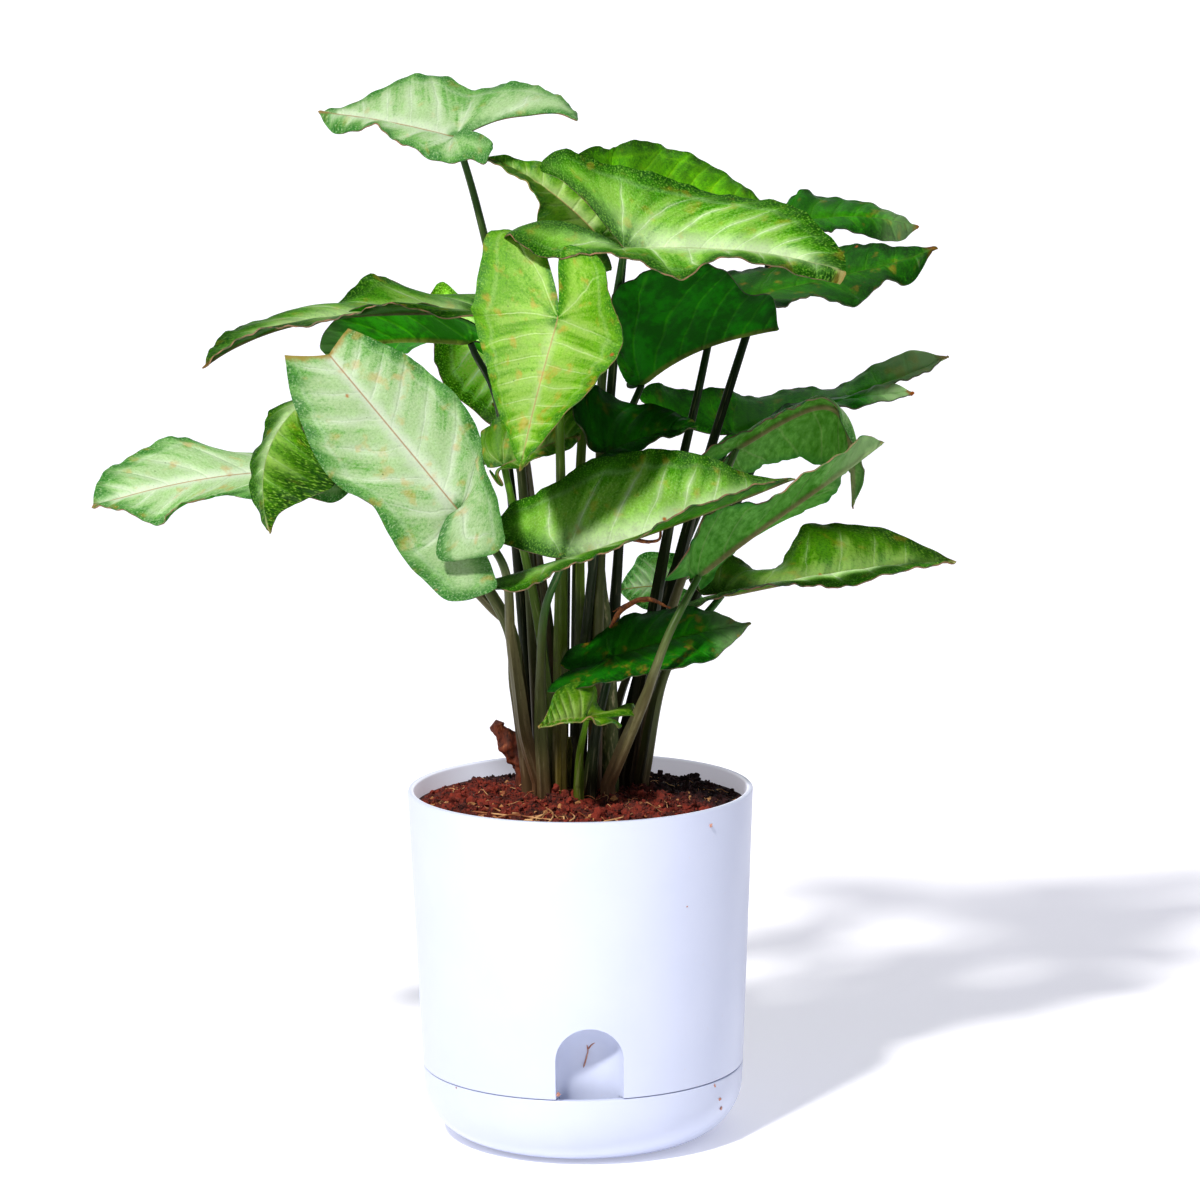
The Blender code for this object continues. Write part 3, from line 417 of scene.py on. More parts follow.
# %% Finer shapes
PULL_COUNT = 9
PULLS = {
    "leaf_centre": (
        ((-18.1, 8.9), (-12.9, 10.2), (-6.4, 10.1), (1, 9.1), (1.8, 9.5), (3.5, 9.4), (1, 6.4),
         (-0.2, 2.3)),
        ((1.8, -4), (-2.5, 8.7), (-0.2, 3.9), (4.3, 6.3), (7.8, 4.6), (6.6, 2.1), (5.2, 0.2),
         (2.8, -0.6)),
    ),
    "leaf_top": (
        ((-2.2, 6), (6.3, -1.8), (5.5, -5.9), (5.7, 0.5), (6.7, -3), (6.9, -0.5), (4.2, -3.5),
         (0.5, -6)),
        ((-1, 0), (3.9, -2.7), (7.8, 5.2), (4.1, -8), (3.4, -1), (3.7, 3.5), (1.5, -0.8),
         (-0.4, -2.4)),
    ),
    "leaf_upper_right": (
        ((5.1, 13.2), (0.4, 7.3), (-3.9, 4.3), (-2, -4.8), (2.8, -5.3), (7.1, -3.2), (6.9, -2.9),
         (7.3, -3.9), (-2, -4.4)),
        ((3.8, -1.4), (-2.6, 1.5), (-5.2, 1.9), (-5.1, 4.9), (-5.1, -5.5), (-6.1, 2.6),
         (-3.2, 1.1), (-1.5, -3.5), (-2, -4.4)),
    ),
    "leaf_front_right": (
        ((0, 0), (1.7, -1.3), (1.7, -0.1), (-0.1, 0.5), (-1.3, 1.1), (-2.4, 0.6), (-3.2, 0.5),
         (-4.4, -1.3)),
        ((0, 0), (3.8, 0.7), (0.3, 0.1), (-4.5, 4.3), (-3.3, 4.7), (-2.1, 7.6), (-0.6, 6.7),
         (-1.3, 4.1)),
    ),
    "leaf_left_front": (
        ((2.4, 3.9), (0.8, 0.7), (-4.4, -0.6), (-0.8, 4.5), (-0.5, 1.5), (-0.8, 0.2),
         (-2.6, 0.6), (-5.1, 1.9), (-4.1, 5.4)),
        ((-22.8, -1.8), (-18.5, -16.4), (-7.3, -1.8), (0.2, -1.5), (-0.8, -0.7), (-1.2, -2.8),
         (0.1, -0.7), (0.2, 0), (-0.5, -0.6)),
    ),
    "leaf_far_left": (
        ((-12.4, 1.2), (-15.7, 2.1), (-22, -0.4), (-18.3, 7.3), (-19.7, 0.8), (-12.1, 0.7),
         (-7.4, 1.9), (-4, 1.5)),
        ((-11.1, -8.9), (-5.7, -11.6), (-8.4, -10.2), (-8.6, -4.6), (-9.9, -0.3), (-9.1, -1.4),
         (-10, -0.6), (-6.3, -0.4)),
    ),
    "leaf_left_hanging": (
        ((-12.6, -9.7), (-8.4, -7.6), (-2.7, -10.6), (6.2, -7.8), (18.7, -8.5), (27.6, -7.5),
         (16.7, -3.8), (5.9, -0.2)),
        ((-19.6, -7.9), (-14.4, -6.9), (-8.8, -7.8), (-7.8, 0.3), (-1.4, -0.8), (-2.7, -0.8),
         (-3.3, -1.2), (-0.3, -3)),
    ),
    "leaf_left_long": (
        ((0, 0), (0, 0), (-15, -1), (-14.4, 6.9), (-10, 4.2), (-7.3, -1.9), (-5.6, 0),
         (-2.8, 0.7)),
        ((0, 0), (-7.9, 7.8), (-14, 9.3), (-10, 5.3), (-4.8, -3.2), (-8.6, 5.4), (-10.1, 1.4),
         (-6.6, -1.4)),
    ),
    "leaf_left_shaded": (
        ((0, 0), (0, 0), (-8, 5.1), (-11.2, 7), (-11.8, 8.3), (-13.4, 4.9), (-12.7, 3.4),
         (-9.6, 0.4)),
        ((0, 0), (0, 0), (-1.1, 3.1), (-1.7, 3.1), (1.7, -3.5), (5.7, -6.3), (4.4, -7.2),
         (0.9, -4.9)),
    ),
    "leaf_low_right": (
        ((10, -0.2), (9.5, -5.6), (8.3, -8.7), (-0.9, -13.2), (-9.2, -18), (-15.8, -3.1),
         (-12.1, 3.7), (-6.5, 2.8)),
        ((0, 0), (0, 0), (1.8, 0.7), (0, 0.3), (-3, -1.1), (-4.8, -3.9), (-1.9, -1.2)),
    ),
    "leaf_right_folded": (
        ((9.8, 10.4), (7.9, 16.3), (9.4, 16.6), (7.6, 17.1), (6.2, 11.8), (7.4, 6.2), (1.8, 5.2),
         (-0.6, 3.3)),
        ((5, 4.3), (11.5, 6.1), (9.3, 7.3), (5.4, 1.6), (6, -6.5), (6, -2.4), (6.3, 1.3),
         (4.1, 5.4)),
    ),
    "leaf_right_arching": (
        ((5.7, 1.7), (5.6, 4.4), (3.4, -2.2), (-1.2, -5.3), (-2.6, -7), (6.3, -14.3),
         (8.3, -6.9), (6.3, -1.1)),
        ((0, 0), (1.8, -2.6), (5, -5.1), (1.8, -6.2), (-3.9, -10.2), (-12.8, -5.1), (-6.4, -3),
         (0, -0.2)),
    ),
    "leaf_right_dark": (
        ((1.2, 13), (-1.3, 9.8), (-2.5, 8.7), (-7.2, -1), (-4.7, -0.5), (-3.4, -6), (-3.3, 0.5),
         (-1.3, 5), (-1.2, 0)),
        ((6.4, 2), (5.1, -0.7), (5, -2.1), (-1.4, 1.5), (-2.7, 1.3), (0.9, 1.8), (0.7, 1.6),
         (0.8, -0.8), (-1.2, 0)),
    ),
    "leaf_right_narrow": (
        ((0, 0), (0, 0), (0, 0), (0, 0), (0, 0), (0.9, -3.4), (0.5, 0.2), (1.1, 2.6), (0, -0.8)),
        ((0, 0), (0, 0), (0, 0), (0, 0), (0, 0), (-0.1, -2.7), (0.9, -1.7), (2.7, -1.4),
         (0, -0.8)),
    ),
    "leaf_back_top": (
        ((0, 0), (8.9, 2), (2.2, 4.7), (0.8, 2.7), (0.4, 0.2), (0.1, -2.6), (1, -2.2),
         (-1.5, 0.5)),
        (),
    ),
    "leaf_back_right": (
        ((0, 0), (0, 0), (6, -1.1), (1, 1.9), (0.1, -0.9), (1, -2.5), (1.7, -1.4), (1.7, -1)),
        ((0, 0), (0, 0), (0, 0), (0, 0), (-4.8, -1.9), (-4, -4.5), (-2.2, -6.2), (-1.1, -6.3)),
    ),
    "leaf_shaded_right": (
        ((0, 0), (0, 0), (0, 0), (0, 0), (0, 0), (3.1, 2.8), (1, 3.3), (-1.2, 1.4), (-0.7, 1)),
        ((0, 0), (0, 0), (7.9, 2.7), (0.4, 8.8), (-2.3, 3), (-3.2, 0), (-3, 0.9), (-1.8, -6.4),
         (-0.7, 1)),
    ),
    "leaf_funnel": (
        ((0, 0), (0, 0), (0, 0), (0.2, -4.3), (-2.2, -2.6), (-3.5, -4.2), (-2.6, -0.8),
         (-0.4, 0.3)),
        ((18.7, -4.5), (19.4, 1.4), (5.6, 11.3), (2.1, 10), (11, 7.6), (9.2, 6.6), (5.5, 3.4),
         (6.4, 6.6)),
    ),
    "leaf_behind_centre": (
        (),
        ((0, 0), (0, 0), (-6, -1.6), (-4.7, 1.8), (-6.2, 1.2), (-2.4, 1.6)),
    ),
    "leaf_young_low": (
        ((13.8, 1.7), (12.2, 1), (6.1, -0.8), (4.9, -5.4), (5.2, -7.6), (8.8, -1.5), (8.7, 4.3),
         (6.4, 1.8), (0.3, -2)),
        ((0.1, 5.6), (0, 0), (-4.6, 2.8), (-4, 2.1), (-2.8, 2.3), (-3, 0.6), (-1.8, -0.8),
         (-0.9, -2.8), (0.3, -2)),
    ),
    "leaf_shaded_middle": (
        ((11.6, 11.3), (10.1, 8.4), (2.4, 10.7), (1.2, 1.5), (3, -2.6), (4.2, -3), (4.3, -1.7),
         (3.2, -0.9)),
        (),
    ),
    "leaf_young_curled": (
        ((0, 0), (0, 0), (-7.1, 4.7), (-8.9, -0.5), (-1.7, 0.8), (0.6, -0.9), (0.8, -1.5),
         (-0.1, -1.1)),
        ((0, 0), (0, 0), (4.1, 0.9), (5.3, 1.8), (3.9, 1.9), (0.1, 2.9), (-1.5, 1.9),
         (-0.4, 1.8)),
    ),
    "leaf_low_dark": (
        ((2.3, -1.8), (1.5, -1.4), (2, 1), (0.3, 1), (-0.1, -0.1), (0, -1.4), (0.2, -1),
         (0.3, -1.2)),
        ((-0.7, -0.2), (-2.6, 2.7), (-0.5, -1.8), (-1.5, 0.1), (-0.2, -2.2), (0.6, -3.2),
         (0.9, -2.4), (0.4, -1.7)),
    ),
    "leaf_small_low": (
        ((0.7, 1.3), (-2.4, 3.4), (-2.7, 3.1), (-2.9, 4.8), (-1.8, 4.7), (-1.3, 2.5),
         (-0.8, 1.8), (0.1, 0.5)),
        ((3.1, -11.8), (13.8, -3.1), (8.8, -4.5), (13.7, 5.1), (8.5, 4.6), (4.6, 4.7),
         (3.4, 2.3), (2, 0.5)),
    ),
}
for leaf_name, leaf in LEAVES.items():
    halves = PULLS.get(leaf_name, ((), ()))
    leaf["pulls"] = [list(half) + [(0, 0)] * (PULL_COUNT - len(half)) for half in halves]
print("margins pulled on", len(PULLS), "leaves")

# %% [markdown]
# A leaf grows without a straight line in it, so its shape is given by a few points, and smooth
# steps and curves fill in the rest. A spline through the points keeps each one where the photo
# has it, which a Bezier curve with handles would not do as plainly.

# %% Smooth steps and curves


def soft(value, low, high):
    """A smooth step from 0 at low to 1 at high."""
    t = np.clip((value - low) / (high - low), 0, 1)
    return t * t * (3 - 2 * t)


def unit(v):
    return v / np.linalg.norm(v)


def turned(v, axis, degrees):
    """The vector turned about the axis."""
    a = math.radians(degrees)
    axis = unit(axis)
    across = np.cross(axis, v)
    return v * math.cos(a) + across * math.sin(a) + axis * np.dot(axis, v) * (1 - math.cos(a))


def smooth_through(points, steps):
    """Points of a smooth curve through the given ones, with a number of steps to each span."""
    p = np.array(points, float)
    p = np.vstack([2 * p[0] - p[1], p, 2 * p[-1] - p[-2]])
    out = []
    for i in range(1, len(p) - 2):
        a, b, c, d = p[i - 1:i + 3]
        for k in range(steps):
            t = k / steps
            square = (2 * a - 5 * b + 4 * c - d) * t * t
            cube = (3 * b - a - 3 * c + d) * t ** 3
            out.append(0.5 * (2 * b + (c - a) * t + square + cube))
    out.append(p[-2])
    return np.array(out)


def run_of(curve):
    """Length of the curve up to each of its points."""
    return np.concatenate([[0], np.cumsum(np.linalg.norm(np.diff(curve, axis=0), axis=1))])


def at_shares(curve, shares):
    """Points of the curve at shares of its own length, from 0 to 1."""
    run = run_of(curve)
    return np.stack([np.interp(shares, run / run[-1], column) for column in curve.T], -1)


corner = smooth_through([(0, 0, 0), (10, 0, 0), (10, 10, 0)], 8)
print("a curve round a corner of 10 and 10 mm is", round(run_of(corner)[-1], 1), "mm long")

# %% [markdown]
# The midrib is the blade's spine. It leaves the stalk at one angle and meets the tip at another,
# as an arching leaf does under its own weight, and the blade can roll about it.

# %% The midrib


def midrib(leaf):
    """The blade's spine: its run, and its points, directions and upward normals."""
    base = np.array(leaf["base"], float)
    tip = np.array(leaf["tip"], float)
    span = np.linalg.norm(tip - base)
    chord = (tip - base) / span
    up = np.array([0, 0, 1.0])
    normal = turned(unit(up - chord * chord[2]), chord, leaf["roll"])
    side = np.cross(normal, chord)
    first = base + turned(chord, side, -leaf["rise"]) * span * leaf["bow"]
    last = tip - turned(chord, side, -leaf["fall"]) * span * leaf["bow"]
    t = np.linspace(0, 1, 61)[:, None]
    points = (1 - t) ** 3 * base + 3 * (1 - t) ** 2 * t * first
    points = points + 3 * (1 - t) * t ** 2 * last + t ** 3 * tip
    along = np.gradient(points, axis=0)
    along = along / np.linalg.norm(along, axis=1)[:, None]
    normals = []
    for direction in along:
        normal = unit(normal - direction * np.dot(normal, direction))
        normals.append(turned(normal, direction, leaf["bank"]))
    return run_of(points), points, along, np.array(normals)


print("longest blade", round(max(midrib(leaf)[0][-1] for leaf in LEAVES.values())), "mm")

# %% [markdown]
# An arrowhead leaf has two lobes behind the stem, with a notch between them that botanists call
# the sinus. The outline of each half is drawn flat first, as one smooth curve that runs from
# the stem down the sinus, round the lobe and on to the tip. A torn leaf ends in a broad cut.

# %% The flat outline


def flat_outline(leaf, half, length):
    """Flat curves of one half: the margin from the lobe's end to the tip, and the sinus edge."""
    w = leaf["width"][half]
    lobe = leaf["lobe"][half]
    gap = leaf["gap"][half] * w
    end = leaf["lobe_x"][half] * w
    broad = leaf["lobe_w"][half] * w
    belly = leaf["belly"]
    neck = leaf["neck"] * w
    rest = 1 - belly
    sinus = [(0, 0), (0.6 * gap, -0.28 * lobe), (0.5 * (gap + end), -0.75 * lobe), (end, -lobe)]
    margin = [
        (broad, -0.72 * lobe),
        (0.5 * (broad + neck), -0.3 * lobe),
        (neck, 0.06 * length),
        (w, belly * length),
    ]
    if leaf["cut"]:
        torn = leaf["cut"]
        margin += [
            (0.95 * w, (belly + rest * 0.35) * length),
            (0.5 * (0.8 + torn) * w, (belly + rest * 0.75) * length),
            (torn * w, length),
        ]
    else:
        margin += [
            (0.9 * w, (belly + rest * 0.3) * length),
            (0.62 * w, (belly + rest * 0.58) * length),
            (0.26 * w, (belly + rest * 0.82) * length),
            (0.07 * w, (belly + rest * 0.94) * length),
            (0, length),
        ]
    steps = 8
    whole = smooth_through(sinus + margin, steps)
    turn = (len(sinus) - 1) * steps
    return whole[turn:], whole[:turn + 1][::-1], 3 * steps


outline = flat_outline(LEAVES["leaf_centre"], 0, 110)[0]
print("the centre leaf's outline has", len(outline), "points")

# %% [markdown]
# Each half is a grid whose rows fan from the stem into the lobe and then climb to the tip, as
# the side veins do. Rows that follow the veins let the relief run along the mesh, so fewer faces
# carry it than an even grid would need.

# %% Rows across the blade
ACROSS = 22
LOBE_ROWS = 27
BLADE_ROWS = 69
ROWS = LOBE_ROWS + BLADE_ROWS
CUT_AT = 0.96


def flat_rows(leaf, half, length):
    """For each row, the flat points at the spine or sinus edge and at the margin."""
    margin, sinus, neck = flat_outline(leaf, half, length)
    lobe = np.linspace(0, 1, LOBE_ROWS + 1)
    blade = np.linspace(0, 1, BLADE_ROWS + 1)[1:]
    end = CUT_AT * length if leaf["cut"] else length
    spine = np.stack([0 * blade, blade * end], -1)
    inside = np.vstack([at_shares(sinus, lobe), spine])
    edge = at_shares(margin[neck:], blade ** 0.85)
    outside = np.vstack([at_shares(margin[:neck + 1], lobe), edge])
    return inside, outside, np.vstack([sinus[::-1], margin])


print("rows in each half of a blade:", ROWS)

# %% [markdown]
# The bend carries every flat point to its place: along the spine, out along a fold that
# steepens into the curl, and up and down with the margin's wave. The pulls come last.

# %% Bending
BEND_STEPS = 12


def bent(leaf, half, spine, x, y):
    """Where the flat points of one half lie once the blade is bent, folded and waved."""
    run, points, along, normals = spine
    sign = 1 if half == 0 else -1
    w = leaf["width"][half]
    lobe = leaf["lobe"][half]
    fold = leaf["fold_l"] if half == 0 else leaf["fold_r"]
    inside = np.clip(y, 0, run[-1])
    centre = np.stack([np.interp(inside, run, c) for c in points.T], -1)
    normal = np.stack([np.interp(inside, run, c) for c in normals.T], -1)
    direction = np.stack([np.interp(inside, run, c) for c in along.T], -1)
    side = np.cross(normal, direction)
    back = np.clip(-y, 0, None)
    rate = math.radians(leaf["lift"][half]) / lobe + 1e-9
    lift = (rate * back)[:, None]
    centre = centre - along[0] * np.sin(lift) / rate + normals[0] * (1 - np.cos(lift)) / rate
    lifted = normals[0] * np.cos(lift) + along[0] * np.sin(lift)
    normal = np.where((y < 0)[:, None], lifted, normal)
    share = soft(back / lobe, 0, 1)
    to_tip = fold[1] + (fold[2] - fold[1]) * inside / run[-1]
    angle = np.radians(np.where(y < 0, fold[1] + (fold[0] - fold[1]) * share, to_tip))
    end_curl = leaf["curl_lobe"] or leaf["curl"]
    curl = np.radians(leaf["curl"][half] + (end_curl[half] - leaf["curl"][half]) * share)
    out = np.zeros_like(x)
    rise = np.zeros_like(x)
    for k in range(BEND_STEPS):
        a = (k + 0.5) / BEND_STEPS * x / w
        out = out + np.cos(angle + curl * a * a) * x / BEND_STEPS
        rise = rise + np.sin(angle + curl * a * a) * x / BEND_STEPS
    turns = 2 * math.pi * leaf["waves"] * y / run[-1] + math.radians(leaf["phase"][half])
    rise = rise + leaf["wave"][half] * (x / w) ** 2 * np.sin(turns)
    return centre + side * (sign * out)[:, None] + normal * rise[:, None]


def pulled(leaf, half, row, u):
    """How far each point is pulled, in mm, from its row and its share from midrib to margin."""
    steps = ROWS // (PULL_COUNT - 1)
    pulls = smooth_through([(x, 0, z) for x, z in leaf["pulls"][half]], steps)
    in_blade = soft(row / LOBE_ROWS, 0, 1)
    move = pulls[row] * (1 - (1 - u ** 1.4) * in_blade)[:, None]
    bulge = (1 - u) * np.sin(math.pi * np.minimum(row / LOBE_ROWS, 1))
    return move + bulge[:, None] * np.array(leaf["sinus"][half])


tip = bent(LEAVES["leaf_top"], 0, midrib(LEAVES["leaf_top"]), np.zeros(1), np.array([999.0]))[0]
print("the top leaf's tip lands at", tip.round(1), "mm")

# %% [markdown]
# The veins of an arrowhead leaf leave the midrib at a wide angle and arch towards the tip, and
# in the lobes they fan out from the stem. One number for each point says how many veins lie
# between it and the stem. Whole numbers are veins, and halfway between two lies the middle of a
# quilted cushion. The blade's relief and its paint both read that number, so they agree.

# %% Vein numbers
VEINS = {"silver": (4.6, 0.62), "fresh": (5.2, 0.62), "young": (6.0, 0.34), "deep": (5.0, 0.5)}


def vein_number(leaf, half, length, x, y):
    """The number of the vein at a flat point, counted from the stem, and below 0 in the lobe."""
    w = leaf["width"][half]
    x = np.maximum(x, 0.01)
    count, slant = VEINS[leaf["skin"]]
    up = y - slant * x - 0.28 * w * (x / w) ** 2.4
    blade = count * up / length * (1 + 0.3 * up / length)
    fan = np.arctan2(-up, x)
    return np.where(up > 0, blade, -2.2 * fan / (math.pi / 2)) + 0.37 * half


def vein_density(leaf, half, length, x, y):
    """Veins for each millimetre, measured straight across them."""
    here = vein_number(leaf, half, length, x, y)
    right = vein_number(leaf, half, length, x + 0.05, y) - here
    up = vein_number(leaf, half, length, x, y + 0.05) - here
    return np.clip(np.hypot(right, up) / 0.05, 0.01, 2)


def away_from(points, line):
    """Distance of each flat point from a line of many points."""
    start = line[:-1]
    step = line[1:] - start
    reach = points[:, None] - start
    share = np.clip((reach * step).sum(-1) / ((step ** 2).sum(-1) + 1e-9), 0, 1)
    return np.linalg.norm(reach - share[..., None] * step, axis=-1).min(1)


steps = vein_density(LEAVES["leaf_centre"], 0, 110, np.array([15.0]), np.array([50.0]))
print("side veins of the centre leaf are", round(1 / steps[0], 1), "mm apart")

# %% [markdown]
# The paint has to know where on the leaf it is. Flat coordinates, vein numbers and the distance
# from the margin are stored on the mesh as attributes, three numbers at a time. They sit on face
# corners, because a UV map does too, and exporters keep both.

# %% Numbers on the mesh


def keep(obj, name, values, domain="CORNER"):
    """Stores three numbers for each vertex, spread to its face corners, as an attribute."""
    values = np.stack([np.broadcast_to(v, len(obj.data.vertices)) for v in values], -1)
    if domain == "CORNER":
        corner = np.empty(len(obj.data.loops), int)
        obj.data.loops.foreach_get("vertex_index", corner)
        values = values[corner]
    made = obj.data.attributes.new(name, "FLOAT_VECTOR", domain)
    made.data.foreach_set("vector", values.ravel())


probe = grid(2, 2)[0]
keep(probe, "flat", (0.0, 1.0, 2.0))
print("corners that carry numbers on a probe:", len(probe.data.attributes["flat"].data))
bpy.data.objects.remove(probe)

# %% [markdown]
# The blade is modelled like paper work, from two grids. A real blade is quilted: it bulges
# between the side veins and sinks along the midrib. The margin ripples, because it grows a
# little longer than the middle. Here the relief is worked out and kept for the next step.

# %% Half a blade
QUILT = 0.5
MIDRIB_DEEP = 0.5
FAR = 99.0


def half_blade(leaf, half, spine, index):
    """One half of the blade as a grid object with its attributes."""
    obj, u, row = grid(ACROSS, ROWS)
    row = np.rint(row * ROWS).astype(int)
    length = spine[0][-1]
    inside, outside, outline = flat_rows(leaf, half, length)
    u = u ** 1.25
    flat = inside[row] * (1 - u)[:, None] + outside[row] * u[:, None]
    x, y = flat.T
    write_points(obj, (bent(leaf, half, spine, x, y) + pulled(leaf, half, row, u)) * MM)
    sign = 1 if half == 0 else -1
    number = vein_number(leaf, half, length, x, y)
    density = vein_density(leaf, half, length, x, y)
    margin = away_from(flat, outline)
    torn = np.full(len(x), FAR)
    if leaf["cut"]:
        torn = away_from(flat, np.array([outline[-1], (0, CUT_AT * length)]))
    keep(obj, "flat", (sign * x, y, 40.0 * index))
    keep(obj, "veins", (number, density, u))
    keep(obj, "edge", (margin, np.clip(y / length, 0, 1), torn))
    rust, tip, pale, value, hue = leaf["looks"][half]
    keep(obj, "own", (rust, tip, pale))
    # The lightness of the looks is painted light and shade; it is stored with the hue and the end.
    keep(obj, "painted_light_hue_end", (value, 0.5 + hue, leaf["end"]))
    cushion = np.abs(np.sin(math.pi * number)) * soft(density, 0.9, 0.3)
    cushion = cushion * soft(u, 0.02, 0.2) * soft(u, 0.95, 0.7) * soft(row, 0, 4)
    relief = QUILT * cushion
    relief -= MIDRIB_DEEP * np.exp(-(x / 1.1) ** 2) * soft(y, 0, 4) * soft(y / length, 1, 0.8)
    ripple = 0.4 * np.sin(0.55 * y + 1.3 * index + half) + 0.25 * np.sin(1.1 * y + 2.1 * index)
    relief += ripple * soft(margin, 5, 0) * soft(u, 0.4, 0.9)
    keep(obj, "relief", (relief, x, y / length), "POINT")
    if half == 0:
        edit(obj, turn_over)
    return obj


probe = half_blade(LEAVES["leaf_centre"], 0, midrib(LEAVES["leaf_centre"]), 0)
print("half of the centre leaf:", [round(side / MM) for side in probe.dimensions], "mm")
bpy.data.objects.remove(probe)

# %% [markdown]
# The halves are joined and sewn along the midrib, and the relief is pressed into the sheet.
# Solidify then gives it half a millimetre of thickness, with slots of their own for the
# underside and the thin edge. At last the underside gets the ridge that the midrib makes there.

# %% The whole blade
BLADE_THICK = 0.55
RIDGE = 0.9


def make_blade(leaf, index, spine, materials):
    """The whole blade with its relief, thickness and midrib."""
    obj = joined(half_blade(leaf, 0, spine, index), half_blade(leaf, 1, spine, index))
    edit(obj, merge)
    relief = read_table(obj.data.attributes["relief"].data, "vector")
    write_points(obj, read_points(obj) + read_normals(obj) * relief[:, :1] * MM)
    for material in materials:
        obj.data.materials.append(material)
    below = len(obj.data.vertices)
    slots = {"material_offset": 1, "material_offset_rim": 2}
    applied(obj, "SOLIDIFY", thickness=BLADE_THICK * MM, offset=0, **slots)
    points = read_points(obj)
    normals = read_normals(obj)
    ridge = RIDGE * np.exp(-(relief[:, 1] / RIDGE) ** 2) * soft(relief[:, 2], 1.0, 0.1)
    ridge *= soft(relief[:, 2], -0.03, 0.02) * leaf["thick"]
    points[below:2 * below] += normals[below:2 * below] * ridge[:, None] * MM
    write_points(obj, points)
    obj.data.attributes.remove(obj.data.attributes["relief"])
    return obj


print("blades are", BLADE_THICK, "mm thick")

# %% [markdown]
# Stalks, old stems, roots and twigs are all tubes, so one function rolls a grid round a path. A
# curve with a bevel would be quicker, but its section could not carry a groove or a ring.

# %% Tubes


def frames_along(path, first_side):
    """Directions of the path, and a side direction that turns with it from the last point on."""
    along = np.gradient(path, axis=0)
    along = along / np.linalg.norm(along, axis=1)[:, None]
    sides = np.zeros_like(path)
    side = first_side
    for k in range(len(path) - 1, -1, -1):
        side = unit(side - along[k] * np.dot(side, along[k]))
        sides[k] = side
    return along, sides


def tube(path, radii, around=16, first_side=(0.0, 0.0, 1.0), shape=None):
    """A closed round bar along the path. Shape scales the radius by angle and share of length."""
    path = np.array(path, float)
    obj, turn, row = grid(around, len(path) - 1)
    row = np.rint(row * (len(path) - 1)).astype(int)
    along, sides = frames_along(path, np.array(first_side, float))
    angle = turn * 2 * math.pi
    share = run_of(path) / run_of(path)[-1]
    radius = np.array(radii, float)[row]
    if shape is not None:
        radius = radius * shape(np.abs((angle + math.pi) % (2 * math.pi) - math.pi), share[row])
    ends = (row == 0) | (row == len(path) - 1)
    radius = np.where(ends, 0.001, radius)
    across = np.cross(along[row], sides[row])
    ring = sides[row] * np.cos(angle)[:, None] + across * np.sin(angle)[:, None]
    write_points(obj, (path[row] + ring * radius[:, None]) * MM)
    keep(obj, "stalk", (share[row], turn, run_of(path)[row]))
    edit(obj, merge, outward)
    return obj


probe = tube([(0, 0, 0), (0, 0, 50), (0, 0, 100)], [2, 2, 2])
print("a probe tube:", [round(side / MM, 1) for side in probe.dimensions], "mm")
bpy.data.objects.remove(probe)

# %% [markdown]
# The leaf stalk of this plant is a petiole: round, a little grooved on its upper side, and
# clasped by thin sheath edges near its foot. It starts in the soil, climbs steeply and bends to
# the blade. The soil's low mound is needed first, because each stalk comes out of its top.

# %% Stalks
STEM_IN_SOIL = 14.0
SOIL_EDGE_Z = 126.5
STALK_RADII = (2.25, 2.0, 1.3)


def soil_top(x, y):
    """Height of the soil's low mound."""
    r = np.hypot(x, y)
    mound = 5.5 * np.cos(np.minimum(1, r / 58) * math.pi / 2)
    lumps = 1.1 * np.sin(0.31 * x + 1.3) * np.cos(0.27 * y - 0.4)
    lumps = lumps + 0.7 * np.sin(0.55 * x - 0.38 * y + 2.1)
    return SOIL_EDGE_Z + mound + lumps * np.minimum(1, (60 - r) / 25)


def stem_path(leaf, spine):
    """Centre line of the leaf's stalk, up out of the soil and then bending to the blade."""
    x, y = leaf["foot"]
    ground = float(soil_top(x, y))
    under = np.array(leaf["base"], float) - spine[3][0] * 0.4
    start = np.array([x, y, ground + 4])
    middle = leaf["via"]
    if not middle:
        middle = (start + (under - start) * np.array([0.32, 0.32, 0.5]),)
    points = smooth_through([start, *[np.array(p, float) for p in middle], under], 14)
    buried = [[x, y, ground - STEM_IN_SOIL], [x, y, ground - 6], [x, y, ground]]
    return np.vstack([buried, points, under + (points[-1] - points[-2]) * 0.02])


def stalk_section(angle, share):
    """A groove on the upper side, and sheath edges beside it in the lower third."""
    groove = 1 - 0.16 * np.exp(-(angle / 0.45) ** 2)
    sheath = 0.6 * soft(share, 0.62, 0.3) * np.exp(-((angle - 0.75) / 0.22) ** 2)
    return groove + sheath


def make_stalk(leaf, spine, material):
    """The stalk of a leaf as a tube with its material."""
    path = stem_path(leaf, spine)
    share = run_of(path) / run_of(path)[-1]
    radii = np.interp(share, [0, 0.5, 1], STALK_RADII) * leaf["thick"]
    obj = tube(path, radii, 16, spine[3][0], stalk_section)
    obj.data.materials.append(material)
    return obj


lengths = [run_of(stem_path(leaf, midrib(leaf)))[-1] for leaf in LEAVES.values()]
print("stalks are", round(min(lengths)), "to", round(max(lengths)), "mm long")

# %% [markdown]
# The upper side of a leaf is a waxy skin over green tissue. In this cultivar the tissue along the
# veins has little green, so whitish bands run beside them and fade into a mottled green. The
# margin is darker, and grainy where pale cells lie among green ones. The recipe starts with the
# distance from the nearest vein in millimetres, which comes from the vein numbers, and paints
# from the broadest tones to the finest: mottling, pale bands, dark margin, grain, rust and tip.

